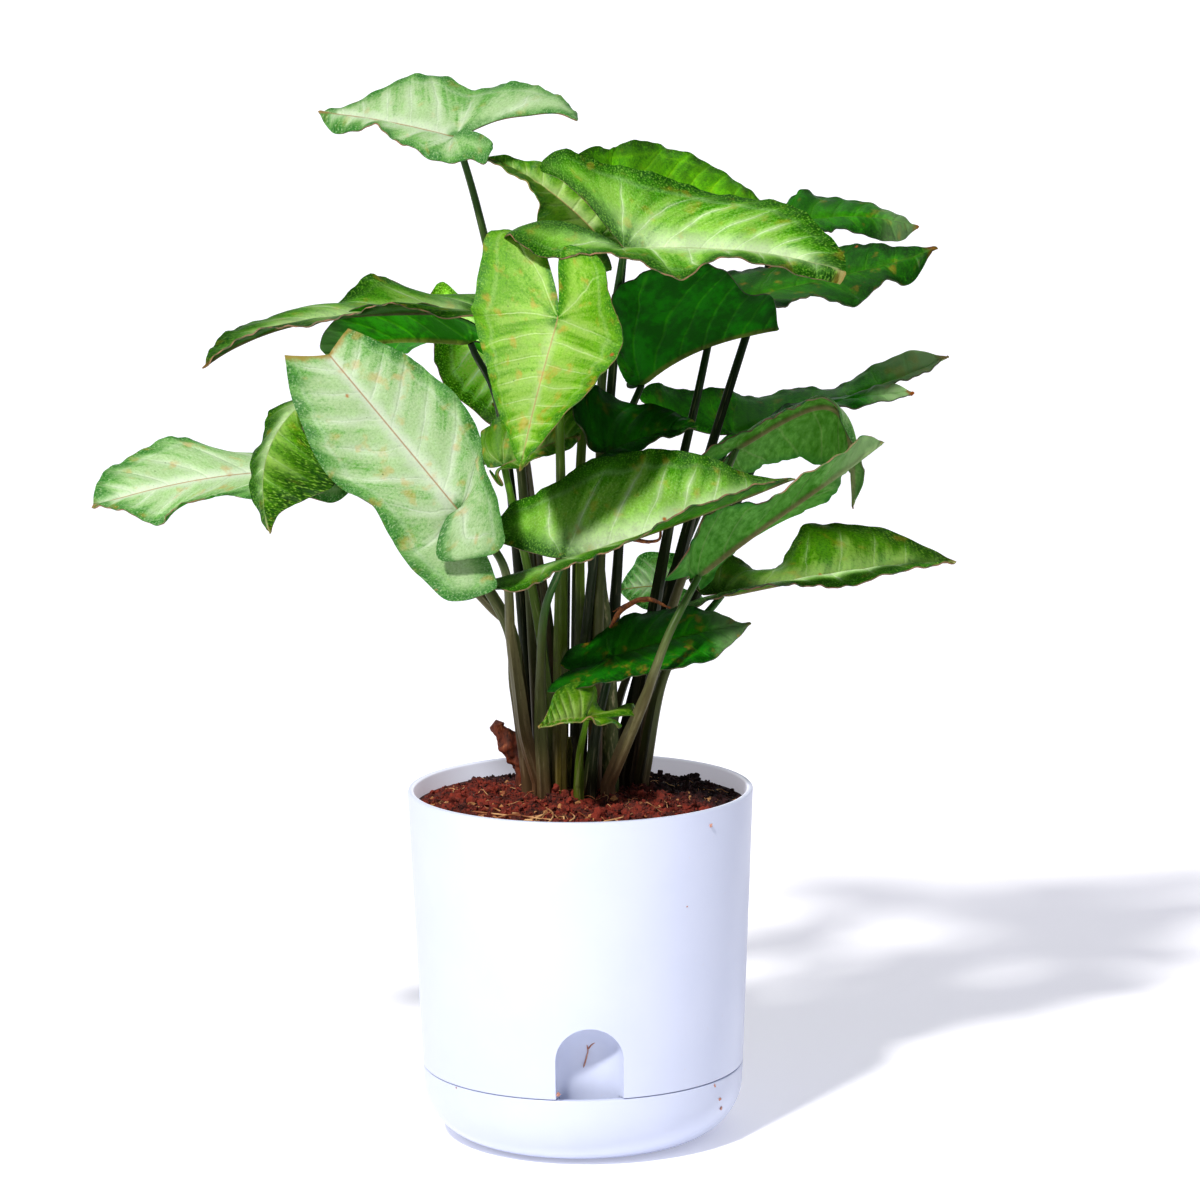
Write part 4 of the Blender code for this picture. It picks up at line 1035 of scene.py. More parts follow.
# %% Leaf tones
TONES = {}
TONES["silver"] = {
    "pale": "#A9C494", "green": "#72A458", "vein": "#DDE5D4", "dark": "#24682A", "gloss": 0.24,
    "midrib": "#9A7050", "through": "#B4DC5E", "under": "#3F7A26", "under_vein": "#7F9A62",
    "band": 3.4, "middle": 9.0, "border": 4.5, "edge": "#86664A", "white": 0.55, "line": 0.22,
    "uneven": 0.06, "under_midrib": "#7A6450",
}
TONES["fresh"] = {
    "pale": "#8CBB56", "green": "#448410", "vein": "#DDE9CC", "dark": "#063A04", "gloss": 0.12,
    "midrib": "#9DA878", "through": "#AEE03C", "under": "#37761A", "under_vein": "#7C9A5A",
    "band": 2.4, "middle": 16.0, "border": 9.0, "edge": "#86664A", "white": 0.62, "line": 0.34,
    "uneven": 0.14, "under_midrib": "#7A6450",
}
TONES["young"] = {
    "pale": "#93BB55", "green": "#629818", "vein": "#D4E4B0", "dark": "#2C6E10", "gloss": 0.3,
    "midrib": "#A98A60", "through": "#BCE030", "under": "#6CA81E", "under_vein": "#B2CC7C",
    "band": 1.9, "middle": 6.0, "border": 4.2, "edge": "#8E7A48", "white": 0.42, "line": 0.3,
    "uneven": 0.1, "under_midrib": "#A6B070",
}
# This skin is the leaf paint made darker, as painted shade for leaves that stand in shadow.
TONES["deep"] = {
    "pale": "#2C8606", "green": "#126402", "vein": "#5EA034", "dark": "#063C02", "gloss": 0.2,
    "midrib": "#4A7A2C", "through": "#78CC1E", "under": "#176208", "under_vein": "#4A8434",
    "band": 1.1, "middle": 3.0, "border": 4.0, "edge": "#4E4A28", "white": 0.5, "line": 0.3,
    "uneven": 0.3, "under_midrib": "#5A5A30",
}
print("dark margins, mm:", {skin: tone["border"] for skin, tone in TONES.items()})

# %% [markdown]
# Every pattern on the upper side is laid out from the same few measures: millimetres from the
# midrib, from the nearest side vein and from the margin, and the share of the way across. Three
# noises stray them, so that no line is ruled: one as broad as the leaf, one of a few
# millimetres and one about as fine as the grain of the tissue, drawn a little coarser.

# %% Measures for the leaf paint
# Waves of the three noises to each millimetre.
BROAD, LUMPY, GRAINY = 0.05, 0.3, 1.15


def three(tree, name):
    """The three numbers of an attribute."""
    place = add(tree, "Attribute", out=1, attribute_name=name)
    return add(tree, "SeparateXYZ", place).node.outputs


def measures(t):
    """What the paint needs to know about a place on the leaf, by name."""
    flat = add(t, "Attribute", out=1, attribute_name="flat")
    x = add(t, "Math", three(t, "flat")[0], operation="ABSOLUTE")
    number, density, across = three(t, "veins")
    margin, along, torn = three(t, "edge")
    rust, tip, pale = three(t, "own")
    # value is the leaf's painted light and shade.
    value, hue, end = three(t, "painted_light_hue_end")
    broad = add(t, "TexNoise", flat, None, BROAD, 2.0)
    lumps = add(t, "TexNoise", flat, None, LUMPY, 5.0, 0.62)
    fine = add(t, "TexNoise", flat, None, GRAINY, 3.0, 0.75)
    stray = add(t, "Math", add(t, "Math", lumps, 0.5, **LESS), 5.0, **TIMES)
    wander = add(t, "Math", add(t, "Math", broad, 0.5, **LESS), 0.5, **TIMES)
    share = add(t, "Math", add(t, "Math", number, wander, **PLUS), 0.5, operation="PINGPONG")
    vein = add(t, "Math", share, density, operation="DIVIDE")
    along_veins = add(t, "CombineXYZ", add(t, "Math", number, 3.4, **TIMES), across, rust)
    return {
        "flat": flat, "x": x, "across": across, "margin": margin, "along": along, "torn": torn,
        "rust": rust, "tip": tip, "pale": pale, "value": value, "hue": hue, "end": end,
        "broad": broad, "lumps": lumps, "fine": fine, "stray": stray, "share": share, "vein": vein,
        "streaks": add(t, "TexNoise", along_veins, None, 1.3, 4.0, 0.6),
    }


print("a blade's paint has", len(TONES["silver"]), "tones and sizes")

# %% [markdown]
# The tissue has two greens. The pale one fills the middle, and fingers of the full green reach
# in from the margin between the veins. How far they reach is set by how silvery the leaf is.

# %% Pale and green tissue


def green_tissue(t, tone, m):
    """The two greens, and how green each place is."""
    cell = add(t, "MapRange", m["share"], 0.03, 0.42, **SOFT)
    reach = add(t, "Math", m["across"], add(t, "Math", cell, 0.3, **TIMES), **PLUS)
    reach = add(t, "Math", reach, add(t, "MapRange", m["lumps"], 0.3, 0.7, -0.26, 0.26), **PLUS)
    reach = add(t, "Math", reach, add(t, "MapRange", m["streaks"], 0.3, 0.7, -0.4, 0.4), **PLUS)
    reach = add(t, "Math", reach, add(t, "MapRange", m["broad"], 0.3, 0.7, -0.2, 0.2), **PLUS)
    reach = add(t, "Math", reach, add(t, "Math", m["pale"], 0.62, **TIMES), **LESS)
    green = add(t, "MapRange", reach, -0.1, 0.8, **SOFT)
    return add(t, "MixRGB", green, colour(tone["pale"]), colour(tone["green"])), green


print("the two greens:", {skin: (tone["pale"], tone["green"]) for skin, tone in TONES.items()})

# %% [markdown]
# Whitish zones follow the veins: a wide one along the midrib that narrows to the tip, thinner
# ones along the side veins that fade as they near the margin, and a faint one where the side
# veins join up. Inside each zone the vein itself shows as a thin pale line.

# %% Pale zones along the veins


def pale_zones(t, tone, m, paint):
    """Whitish zones beside the veins, frayed by the noises, and the thin lines of the veins."""
    frayed = add(t, "Math", m["vein"], add(t, "Math", m["stray"], 0.55, **TIMES), **PLUS)
    frayed = add(t, "Math", frayed, add(t, "MapRange", m["across"], 0.0, 0.9, 0.55, 1.7), **TIMES)
    side = add(t, "MapRange", frayed, -0.4, tone["band"], tone["white"], 0.0, **SOFT)
    side = add(t, "Math", side, add(t, "MapRange", m["streaks"], 0.35, 0.65, 1.15, 0.45), **TIMES)
    fading = add(t, "MapRange", m["across"], 0.5, 0.86, 1.0, 0.0, **SOFT)
    side = add(t, "Math", side, fading, **TIMES)
    taper = add(t, "MapRange", m["along"], 0.0, 1.0, 1.0, 2.4)
    near = add(t, "Math", add(t, "Math", m["x"], m["stray"], **PLUS), taper, **TIMES)
    middle = add(t, "MapRange", near, -1.0, tone["middle"], 0.9, 0.0, **SOFT)
    bow = add(t, "MapRange", m["share"], 0.0, 0.5, 0.81, 0.77, **SOFT)
    ring = add(t, "Math", add(t, "Math", m["across"], bow, **LESS), operation="ABSOLUTE")
    ring = add(t, "MapRange", ring, 0.0, 0.06, 0.26, 0.0, **SOFT)
    white = add(t, "Math", add(t, "Math", side, middle, **MOST), ring, **MOST)
    white = add(t, "Math", white, add(t, "MapRange", m["fine"], 0.32, 0.62, 0.55, 1.0), **TIMES)
    strength = add(t, "MapRange", m["pale"], 0.0, 1.0, 0.12, 1.1)
    white = add(t, "Math", white, strength, use_clamp=True, **TIMES)
    paint = add(t, "MixRGB", white, paint, colour(tone["vein"]))
    line = add(t, "MapRange", m["vein"], 0.08, 0.34, tone["line"], 0.0, **SOFT)
    line = add(t, "Math", line, add(t, "MapRange", m["across"], 0.6, 0.84, 1.0, 0.25), **TIMES)
    line = add(t, "Math", line, add(t, "MapRange", m["pale"], 0.0, 0.6, 0.35, 1.0), **TIMES)
    return add(t, "MixRGB", line, paint, colour(tone["vein"]))


print("zones along the midrib, mm:", {skin: tone["middle"] for skin, tone in TONES.items()})

# %% [markdown]
# The margin is the darkest part, but it's grainy, because pale cells lie among the green ones.
# The same grain runs thinly over the whole blade. The midrib is a thin reddish-brown line.

# %% Dark margin, grain and midrib


def margin_and_grain(t, tone, m, green, paint):
    """Dark grains that crowd towards the margin, and the line of the midrib."""
    light = add(t, "MapRange", m["fine"], 0.46, 0.34, 0.0, 0.2)
    light = add(t, "Math", light, m["pale"], **TIMES)
    paint = add(t, "MixRGB", light, paint, colour(tone["vein"]))
    border = add(t, "Math", m["margin"], add(t, "Math", m["stray"], 1.1, **TIMES), **PLUS)
    border = add(t, "Math", border, add(t, "MapRange", m["share"], 0.0, 0.4, 1.5, -1.5), **PLUS)
    belt = add(t, "MapRange", border, 0.0, tone["border"] * 1.4, 0.85, 0.0, **SOFT)
    paint = add(t, "MixRGB", belt, paint, colour(tone["green"]))
    border = add(t, "MapRange", border, -0.5, tone["border"], 1.0, 0.0, **SOFT)
    grains = add(t, "MapRange", m["fine"], 0.38, 0.54, 0.5, 1.0)
    border = add(t, "Math", border, grains, **TIMES)
    border = add(t, "Math", border, add(t, "MapRange", m["pale"], 0.3, 1.0, 1.0, 0.85), **TIMES)
    paint = add(t, "MixRGB", border, paint, colour(tone["dark"]))
    cells = add(t, "TexNoise", m["flat"], None, 1.5, 1.0)
    cells = add(t, "MapRange", cells, 0.55, 0.64, 0.0, 0.7)
    paint = add(t, "MixRGB", add(t, "Math", cells, belt, **TIMES), paint, colour(tone["pale"]))
    specks = add(t, "MapRange", m["fine"], 0.5, 0.62, 0.0, 0.8)
    specks = add(t, "Math", specks, add(t, "MapRange", green, 0.0, 1.0, 0.28, 0.8), **TIMES)
    paint = add(t, "MixRGB", specks, paint, colour(tone["dark"]))
    spine = add(t, "MapRange", m["x"], 0.12, 0.5, 0.75, 0.0, **SOFT)
    return add(t, "MixRGB", spine, paint, colour(tone["midrib"]))


print("grain is about", round(1 / GRAINY, 1), "mm wide, a little coarser than on a leaf")

# %% [markdown]
# Old leaves go pale and dry towards the tip. How far is a number of the leaf's own, and most
# leaves have none. It's laid over both sides, because the whole tissue has lost its green. On
# some leaves in shade, such as leaf_behind_centre, the same paleness is painted light.

# %% Pale ends


def dry_end_and_painted_light(t, m, paint):
    """Lightens the blade towards its tip: dry tissue, and painted light on some leaves in shade.
    """
    far = add(t, "Math", m["along"], add(t, "Math", m["stray"], 0.03, **TIMES), **PLUS)
    far = add(t, "Math", add(t, "MapRange", far, 0.62, 0.84, **SOFT), m["end"], **TIMES)
    return add(t, "MixRGB", add(t, "Math", far, 0.85, **TIMES), paint, colour("#93B07C"))


print("leaves with a pale end:", sum(leaf["end"] > 0 for leaf in LEAVES.values()))

# %% [markdown]
# No leaf of a house plant is spotless. Rust spots a millimetre or two wide, faint yellow
# smears, small dark dots and a brown tip make each leaf one that has lived a while. How many
# there are comes from the looks in the leaf's own row.

# %% Rust, dots and dry ends


def spots(t, place, scale, channel, kept, large, strength):
    """Spots at the middles of a Voronoi pattern's cells, but only in a share of the cells."""
    spot = add(t, "TexVoronoi", place, None, scale)
    pick = add(t, "SeparateXYZ", spot.node.outputs["Color"]).node.outputs[channel]
    kept = add(t, "Math", pick, kept, operation="LESS_THAN")
    size = add(t, "MapRange", spot, 0.03, large, strength, 0.0, **SOFT)
    return add(t, "Math", size, kept, **TIMES)


def blemishes(t, m, paint):
    """Rust spots, smears, dark dots, a brown tip and a dry cut edge."""
    shift = add(t, "TexNoise", m["flat"], None, 0.5, 3.0, out=1)
    place = add(t, "VectorMath", m["flat"], shift, operation="ADD")
    rust = spots(t, place, 0.085, 0, m["rust"], 0.09, 0.95)
    paint = add(t, "MixRGB", rust, paint, colour("#A05A22"))
    smear = add(t, "TexNoise", m["flat"], None, 0.16, 5.0)
    smear = add(t, "MapRange", smear, 0.57, 0.72, 0.0, 0.7, **SOFT)
    smear = add(t, "Math", smear, m["rust"], **TIMES)
    paint = add(t, "MixRGB", smear, paint, colour("#C48A34"))
    dots = spots(t, m["flat"], 0.19, 1, 0.3, 0.08, 0.7)
    paint = add(t, "MixRGB", dots, paint, colour("#33501F"))
    brown = add(t, "Math", m["along"], add(t, "Math", m["stray"], 0.012, **TIMES), **PLUS)
    brown = add(t, "Math", add(t, "MapRange", brown, 0.94, 0.985, **SOFT), m["tip"], **TIMES)
    at_edge = add(t, "MapRange", m["margin"], 0.4, 1.8, 1.0, 0.0, **SOFT)
    brown = add(t, "Math", brown, at_edge, **TIMES)
    paint = add(t, "MixRGB", brown, paint, colour("#8E4E1A"))
    dry = add(t, "Math", m["torn"], m["stray"], **PLUS)
    dry = add(t, "MapRange", dry, 0.2, 2.6, 0.9, 0.0, **SOFT)
    return add(t, "MixRGB", dry, paint, colour("#94803A"))


print("rust on the centre leaf:", LEAVES["leaf_centre"]["looks"][0][0])

# %% [markdown]
# The layers are now stacked on a satin skin that lets a fifth of the light through, because a
# thin leaf with light behind it glows yellow-green. A real leaf scatters light inside, which
# subsurface scattering would show too, but a translucent share is quicker and looks the same.

# %% Leaf upper side


def uneven(t, tone, m, gain, high):
    """Painted light and shade: the leaf's own value, in patches a few centimetres wide."""
    patches = add(t, "Math", add(t, "Math", m["broad"], m["lumps"], **PLUS), 0.5, **TIMES)
    dull, bright = 1 - tone["uneven"], 1 + tone["uneven"] * gain
    patches = add(t, "MapRange", patches, 0.42, high, dull, bright, **SOFT)
    return add(t, "Math", m["value"], patches, **TIMES)


def leaf_upper(name, tone):
    """Waxy upper skin: a soft satin sheen with the quilting and the veins pressed into it."""
    made, t = empty_material(name)
    m = measures(t)
    paint, green = green_tissue(t, tone, m)
    paint = pale_zones(t, tone, m, paint)
    paint = margin_and_grain(t, tone, m, green, paint)
    # The value darkens or lightens the paint as painted light and shade.
    value = uneven(t, tone, m, 1.3, 0.6)
    paint = add(t, "HueSaturation", m["hue"], 1.06, value, 1.0, paint)
    paint = blemishes(t, m, dry_end_and_painted_light(t, m, paint))
    height = add(t, "MapRange", m["vein"], 0.1, 0.9, 0.0, 1.0, **SOFT)
    height = add(t, "Math", height, m["fine"], **PLUS)
    bump = add(t, "Bump", Strength=0.55, Distance=0.00035, Height=height)
    skin = {"Base Color": paint, "Roughness": 0.46, "Normal": bump}
    skin = add(t, "BsdfPrincipled", **skin, **{"Specular IOR Level": tone["gloss"]})
    glow = add(t, "MixRGB", 0.6, paint, colour(tone["through"]))
    surface_of(t, add(t, "MixShader", 0.2, skin, add(t, "BsdfTranslucent", glow)))
    return made


UPPER = {skin: leaf_upper("waxy leaf, " + skin, tone) for skin, tone in TONES.items()}
print(len(UPPER), "upper skins")

# %% [markdown]
# The underside has no wax. It is plainer and more matt, with the veins raised and a little
# paler, and its midrib keeps the mauve-brown of the stalk. More light comes through it, so the
# translucent share is larger than above.

# %% Leaf underside


def leaf_under(name, tone):
    """Matt underside of a leaf, even green with paler veins."""
    made, t = empty_material(name)
    m = measures(t)
    mottle = add(t, "MapRange", m["lumps"], 0.35, 0.65, 0.0, 0.8)
    shade = add(t, "MixRGB", mottle, colour(tone["under"]), colour(tone["green"]))
    line = add(t, "MapRange", m["vein"], 0.1, 0.7, 0.45, 0.0, **SOFT)
    spine = add(t, "MapRange", m["x"], 0.5, 1.6, 0.8, 0.0, **SOFT)
    shade = add(t, "MixRGB", line, shade, colour(tone["under_vein"]))
    shade = add(t, "MixRGB", spine, shade, colour(tone["under_midrib"]))
    border = add(t, "Math", m["margin"], add(t, "Math", m["stray"], 0.6, **TIMES), **PLUS)
    border = add(t, "MapRange", border, 0.0, 3.5, 0.6, 0.0, **SOFT)
    shade = add(t, "MixRGB", border, shade, colour(tone["dark"]))
    grain = add(t, "MapRange", m["fine"], 0.48, 0.68, 0.0, 0.35)
    shade = add(t, "MixRGB", grain, shade, colour(tone["dark"]))
    # The value darkens or lightens the paint as painted light and shade.
    value = uneven(t, tone, m, 1.6, 0.58)
    shade = add(t, "HueSaturation", m["hue"], 1.1, value, 1.0, shade)
    shade = dry_end_and_painted_light(t, m, shade)
    height = add(t, "MapRange", m["vein"], 0.1, 0.9, 1.0, 0.0, **SOFT)
    height = add(t, "Math", height, m["fine"], **PLUS)
    bump = add(t, "Bump", Strength=0.6, Distance=0.0004, Height=height)
    skin = {"Base Color": shade, "Roughness": 0.55, "Specular IOR Level": 0.2, "Normal": bump}
    skin = add(t, "BsdfPrincipled", **skin)
    glow = add(t, "MixRGB", 0.5, shade, colour(tone["through"]))
    surface_of(t, add(t, "MixShader", 0.28, skin, add(t, "BsdfTranslucent", glow)))
    return made


UNDER = {skin: leaf_under("leaf underside, " + skin, tone) for skin, tone in TONES.items()}
print(len(UNDER), "undersides")

# %% [markdown]
# The cut edge of the blade is so thin that it only shows as a reddish-brown thread, where the
# cells at the margin have dried. Patches 5 mm long run from that brown into the leaf's green.

# %% Leaf edge


def leaf_edge(name, tone):
    """The thin dry thread along the margin."""
    made, t = empty_material(name)
    flat = add(t, "Attribute", out=1, attribute_name="flat")
    patches = add(t, "MapRange", add(t, "TexNoise", flat, None, 0.2, 3.0), 0.35, 0.6)
    shade = add(t, "MixRGB", patches, colour(tone["dark"]), colour(tone["edge"]))
    surface_of(t, add(t, "BsdfPrincipled", **{"Base Color": shade, "Roughness": 0.6}))
    return made


EDGE = {skin: leaf_edge("dry leaf edge, " + skin, tone) for skin, tone in TONES.items()}
SKINS = {skin: (UPPER[skin], UNDER[skin], EDGE[skin]) for skin in UPPER}
print(len(EDGE), "edges")

# %% [markdown]
# A stalk has a smooth taut skin, reddish at the foot, olive in the middle and green near the
# blade. Its fibres run lengthwise and show as faint streaks, so the noise is stretched along
# the stalk: it changes every millimetre or two round it, but only every few centimetres along.

# %% Stalk skin


def stalk_skin(name, foot, middle, top):
    """Smooth skin of a leaf stalk, streaked lengthwise, reddish at the foot and green on top."""
    made, t = empty_material(name)
    share, turn, length = three(t, "stalk")
    wide, long = add(t, "Math", turn, 5.0, **TIMES), add(t, "Math", length, 0.03, **TIMES)
    place = add(t, "CombineXYZ", wide, long, share)
    streak = add(t, "TexNoise", place, None, 1.6, 3.0, 0.6)
    fine = add(t, "TexNoise", add(t, "TexCoord", out=3), None, 900.0, 2.0)
    low = add(t, "MapRange", share, 0.08, 0.42, **SOFT)
    high = add(t, "MapRange", share, 0.55, 0.95, **SOFT)
    shade = add(t, "MixRGB", low, colour(foot), colour(middle))
    shade = add(t, "MixRGB", high, shade, colour(top))
    dark = add(t, "MapRange", streak, 0.42, 0.62, 0.0, 0.24, **SOFT)
    shade = add(t, "MixRGB", dark, shade, colour("#22200E"))
    light = add(t, "MapRange", streak, 0.44, 0.34, 0.0, 0.16, **SOFT)
    shade = add(t, "MixRGB", light, shade, colour("#B5A88C"))
    speck = add(t, "MapRange", fine, 0.6, 0.72, 0.0, 0.35)
    shade = add(t, "MixRGB", speck, shade, colour("#4A3A2C"))
    bump = add(t, "Bump", Strength=0.4, Distance=0.0003, Height=streak)
    skin = {"Base Color": shade, "Roughness": 0.42, "Specular IOR Level": 0.22, "Normal": bump}
    surface_of(t, add(t, "BsdfPrincipled", **skin))
    return made


STALKS = {
    "silver": stalk_skin("leaf stalk, mauve and olive", "#6E523A", "#6A6646", "#34561E"),
    "fresh": stalk_skin("leaf stalk, olive", "#5C4832", "#525A30", "#28561A"),
    "young": stalk_skin("leaf stalk, fresh green", "#5E5426", "#4E6418", "#5C8A22"),
    # These stalks are painted darker, as painted shade for the leaves in shadow.
    "deep": stalk_skin("leaf stalk, olive in painted shade", "#2E2218", "#202C10", "#0E3206"),
}
print(len(bpy.data.materials), "materials")

# %% [markdown]
# With blades, stalks and skins ready, each leaf is put together: blade and stalk become one
# piece, as on the plant, and it takes the place of its CAD solid.

# %% All the leaves
for index, (leaf_name, leaf) in enumerate(LEAVES.items()):
    spine = midrib(leaf)
    blade = make_blade(leaf, index, spine, SKINS[leaf["skin"]])
    stalk = make_stalk(leaf, spine, STALKS[leaf["skin"]])
    slot = "leaf_silver" if leaf["skin"] == "fresh" else "leaf_" + leaf["skin"]
    finished(joined(blade, stalk), leaf_name + "_grown", [leaf_name], 50)
print("leaves that are done:", len(pieces))

# %% [markdown]
# The pot is injection-moulded plastic, two thin shells of revolution. A ring of points is laid
# out as the wall's section, and Screw turns it round the axis in fine steps. The rim, the seam
# and the foot get their small rounded corners in the section itself, which keeps them even.

# %% The pot's section
POT_HEIGHT = 133.0
RIM = 65.0
SEAM = 60.8
SEAM_Z = 27.5
WALL = 2.3
LIP = 0.8
SEAM_LIP = 0.5
SKIRT = 57.4
FLOOR_Z = 20.0
BASE = 2.4
WICK = 16.0
WICK_Z = 5.0
DRAFT = 1.5
FOOT = 38.5
FILLET = 22.0


def arc(r, z, radius, start, end, steps):
    """Points of a rounded corner, with angles in degrees."""
    angles = [math.radians(start + (end - start) * k / steps) for k in range(steps + 1)]
    return [(r + radius * math.cos(a), z + radius * math.sin(a)) for a in angles]


def spun(section, steps):
    """A solid of revolution from a closed section of radius and height."""
    bpy.ops.object.select_all(action="DESELECT")
    bpy.ops.mesh.primitive_circle_add(vertices=len(section), fill_type="NOTHING")
    obj = bpy.context.object
    write_points(obj, [(r * MM, 0, z * MM) for r, z in section])
    applied(
        obj, "SCREW", axis="Z", angle=2 * math.pi, steps=steps, render_steps=steps,
        use_merge_vertices=True, merge_threshold=0.00001,
    )
    edit(obj, merge, bpy.ops.mesh.delete_loose, outward)
    return obj


def wall(z):
    """The planter's outside radius at a height."""
    return SEAM + (RIM - SEAM) * (z - SEAM_Z) / (POT_HEIGHT - SEAM_Z)


step_z = SEAM_Z + 0.3
planter_section = arc(RIM - LIP, POT_HEIGHT - LIP, LIP, 90, 0, 5)
planter_section += arc(wall(step_z) - SEAM_LIP, step_z + SEAM_LIP, SEAM_LIP, 0, -90, 4)
planter_section += [(SKIRT, step_z), (SKIRT - 0.3, FLOOR_Z + 1), (SKIRT - 1.3, FLOOR_Z)]
planter_section += [(WICK + DRAFT, FLOOR_Z), (WICK, WICK_Z), (0, WICK_Z), (0, WICK_Z + BASE)]
planter_section += [(WICK - WALL, WICK_Z + BASE), (WICK + DRAFT - WALL, FLOOR_Z + BASE)]
planter_section += [(SKIRT - WALL - 0.6, FLOOR_Z + BASE)]
planter_section += [(wall(step_z + 3) - WALL - 0.2, step_z + 4)]
planter_section += arc(RIM - WALL + LIP, POT_HEIGHT - LIP, LIP, 180, 90, 5)
bowl_section = arc(SEAM - SEAM_LIP, SEAM_Z - SEAM_LIP, SEAM_LIP, 90, 0, 4)
bowl_section += arc(FOOT, FILLET, FILLET, 0, -90, 24) + [(0, 0), (0, BASE)]
bowl_section += arc(FOOT, FILLET, FILLET - BASE, -90, 0, 24) + [(SEAM - BASE, SEAM_Z)]
print(len(planter_section), "points in the planter's section")

# %% [markdown]
# The water inlet is a round-topped niche in the front wall. A real mould forms it with a core,
# and here a domed bar stands in for the core: a larger one, cut to the inside of the pot, is
# added as the niche's wall, and then the bar itself is taken away.

# %% Planter and water bowl
NICHE = 12.7
NICHE_TOP = 42.3
NICHE_TURN = math.radians(2.5)
NICHE_AT = 61.4


def domed_bar(radius, foot_z):
    """The niche's core, standing in the front wall."""
    section = [(0, NICHE_TOP + radius)] + arc(0, NICHE_TOP, radius, 90, 0, 14)[1:]
    obj = spun(section + [(radius, foot_z), (0, foot_z)], 64)
    move = Vector((NICHE_AT * math.sin(NICHE_TURN), -NICHE_AT * math.cos(NICHE_TURN), 0)) * MM
    write_points(obj, read_points(obj) + np.array(move))
    return obj


def combined(obj, other, operation):
    """Adds, cuts or keeps the other solid, which is then removed."""
    applied(obj, "BOOLEAN", operation=operation, object=other, solver="MANIFOLD")
    bpy.data.objects.remove(other)


planter = spun(planter_section, 160)
lining = [(0, 80), (wall(80) - 1, 80), (wall(step_z) - 1, step_z), (SKIRT - 1.5, step_z)]
lining = spun(lining + [(SKIRT - 1.5, FLOOR_Z), (0, FLOOR_Z)], 160)
bulge = domed_bar(NICHE + 2.0, FLOOR_Z)
combined(bulge, lining, "INTERSECT")
combined(planter, bulge, "UNION")
combined(planter, domed_bar(NICHE, 10), "DIFFERENCE")
bowl = spun(bowl_section, 160)
print("planter has", len(planter.data.polygons), "faces")

# %% [markdown]
# Polypropylene comes out of the mould white with a soft satin gloss. It is never quite even:
# handling leaves a faint haze, and watering leaves specks of peat. The haze is a slow noise on
# the colour. The inside of the thin wall above the soil gets a weak glow, which is painted
# light: it lifts the inner wall where the plant's shadow falls. The specks are modelled later,
# because they stand proud of the wall.

# %% White plastic


def moulded_plastic(name):
    """White polypropylene, moulded, with a satin gloss, a faint haze and a painted glow inside the
    rim.
    """
    made, t = empty_material(name)
    place = add(t, "TexCoord", out=3)
    haze = add(t, "TexNoise", place, None, 30.0, 4.0, 0.6)
    haze = add(t, "MapRange", haze, 0.4, 0.7, 0.0, 0.5)
    shade = add(t, "MixRGB", haze, colour("#C8CEE2"), colour("#C1C8DE"))
    grime = add(t, "TexNoise", place, None, 700.0, 2.0)
    grime = add(t, "MapRange", grime, 0.7, 0.78, 0.0, 0.25)
    shade = add(t, "MixRGB", grime, shade, colour("#C9BDB8"))
    # Painted light: a weak emission inside the wall near the rim brightens it where the plant's
    # shadow falls.
    parts = add(t, "SeparateXYZ", place).node.outputs
    level = add(t, "CombineXYZ", parts[0], parts[1])
    radius = add(t, "VectorMath", level, operation="LENGTH", out=1)
    inside = add(t, "MapRange", radius, (RIM - 1) * MM, (RIM - 2) * MM, 0.0, 1.0)
    inside = add(t, "Math", inside, add(t, "MapRange", parts[2], 0.115, 0.119), **TIMES)
    # Strength of the painted glow.
    glow = add(t, "Math", inside, 0.3, **TIMES)
    skin = {"Base Color": shade, "Roughness": 0.34, "Emission Color": colour("#F2EEF6")}
    surface_of(t, add(t, "BsdfPrincipled", **skin, **{"Emission Strength": glow}))
    return made


plastic = moulded_plastic("white moulded polypropylene")
finished(planter, "planter_moulded", ["planter"], 30, plastic)
finished(bowl, "water_bowl_moulded", ["water_bowl"], 30, plastic)
for obj in (planter, bowl):
    print(obj.name, "measures", [round(side / MM, 1) for side in obj.dimensions], "mm")

# %% [markdown]
# The pot is filled with moist cocopeat, a crumbly mass of coir dust. The body of it is turned
# like the pot, and its top is roughened with noise at two sizes. Crumbs, clods and fibres then
# lie on that top. Displacement could make the relief too, but only loose crumbs cast the small
# deep shadows that peat shows.

# %% Body of the soil
NOISE_SHIFT = Vector((3.1, 7.7, 0))
SOIL_RINGS = 44
GAP = 0.3


def rough_top(x, y):
    """Height of the soil's top with its coarse relief."""
    r = math.hypot(x, y)
    big = noise.fractal(Vector((x, y, 0)) * 0.09, 1.0, 2.0, 3)
    small = noise.fractal(Vector((x, y, 0)) * 0.4 + NOISE_SHIFT, 1.0, 2.0, 2)
    calm = min(1.0, max(0.0, (61.5 - r) / 6))
    return float(soil_top(x, y)) + (1.7 * big + 0.7 * small) * calm


top_radius = wall(SOIL_EDGE_Z) - WALL - 0.1
soil_section = [(top_radius * k / SOIL_RINGS, 0) for k in range(SOIL_RINGS + 1)]
over_floor = FLOOR_Z + BASE + GAP
over_wick = WICK_Z + BASE + GAP
soil_section += [(wall(34) - WALL - 0.6, 34), (SKIRT - WALL - 0.9, over_floor)]
soil_section += [(WICK - WALL + 0.9, over_floor), (WICK - WALL - GAP, over_wick), (0, over_wick)]
soil = spun(soil_section, 132)
points = read_points(soil) / MM
for point in points:
    if point[2] < 1:
        point[2] = rough_top(point[0], point[1])
write_points(soil, points * MM)
combined(soil, domed_bar(NICHE + 2.3, 10), "DIFFERENCE")
print("soil body has", len(soil.data.polygons), "faces")

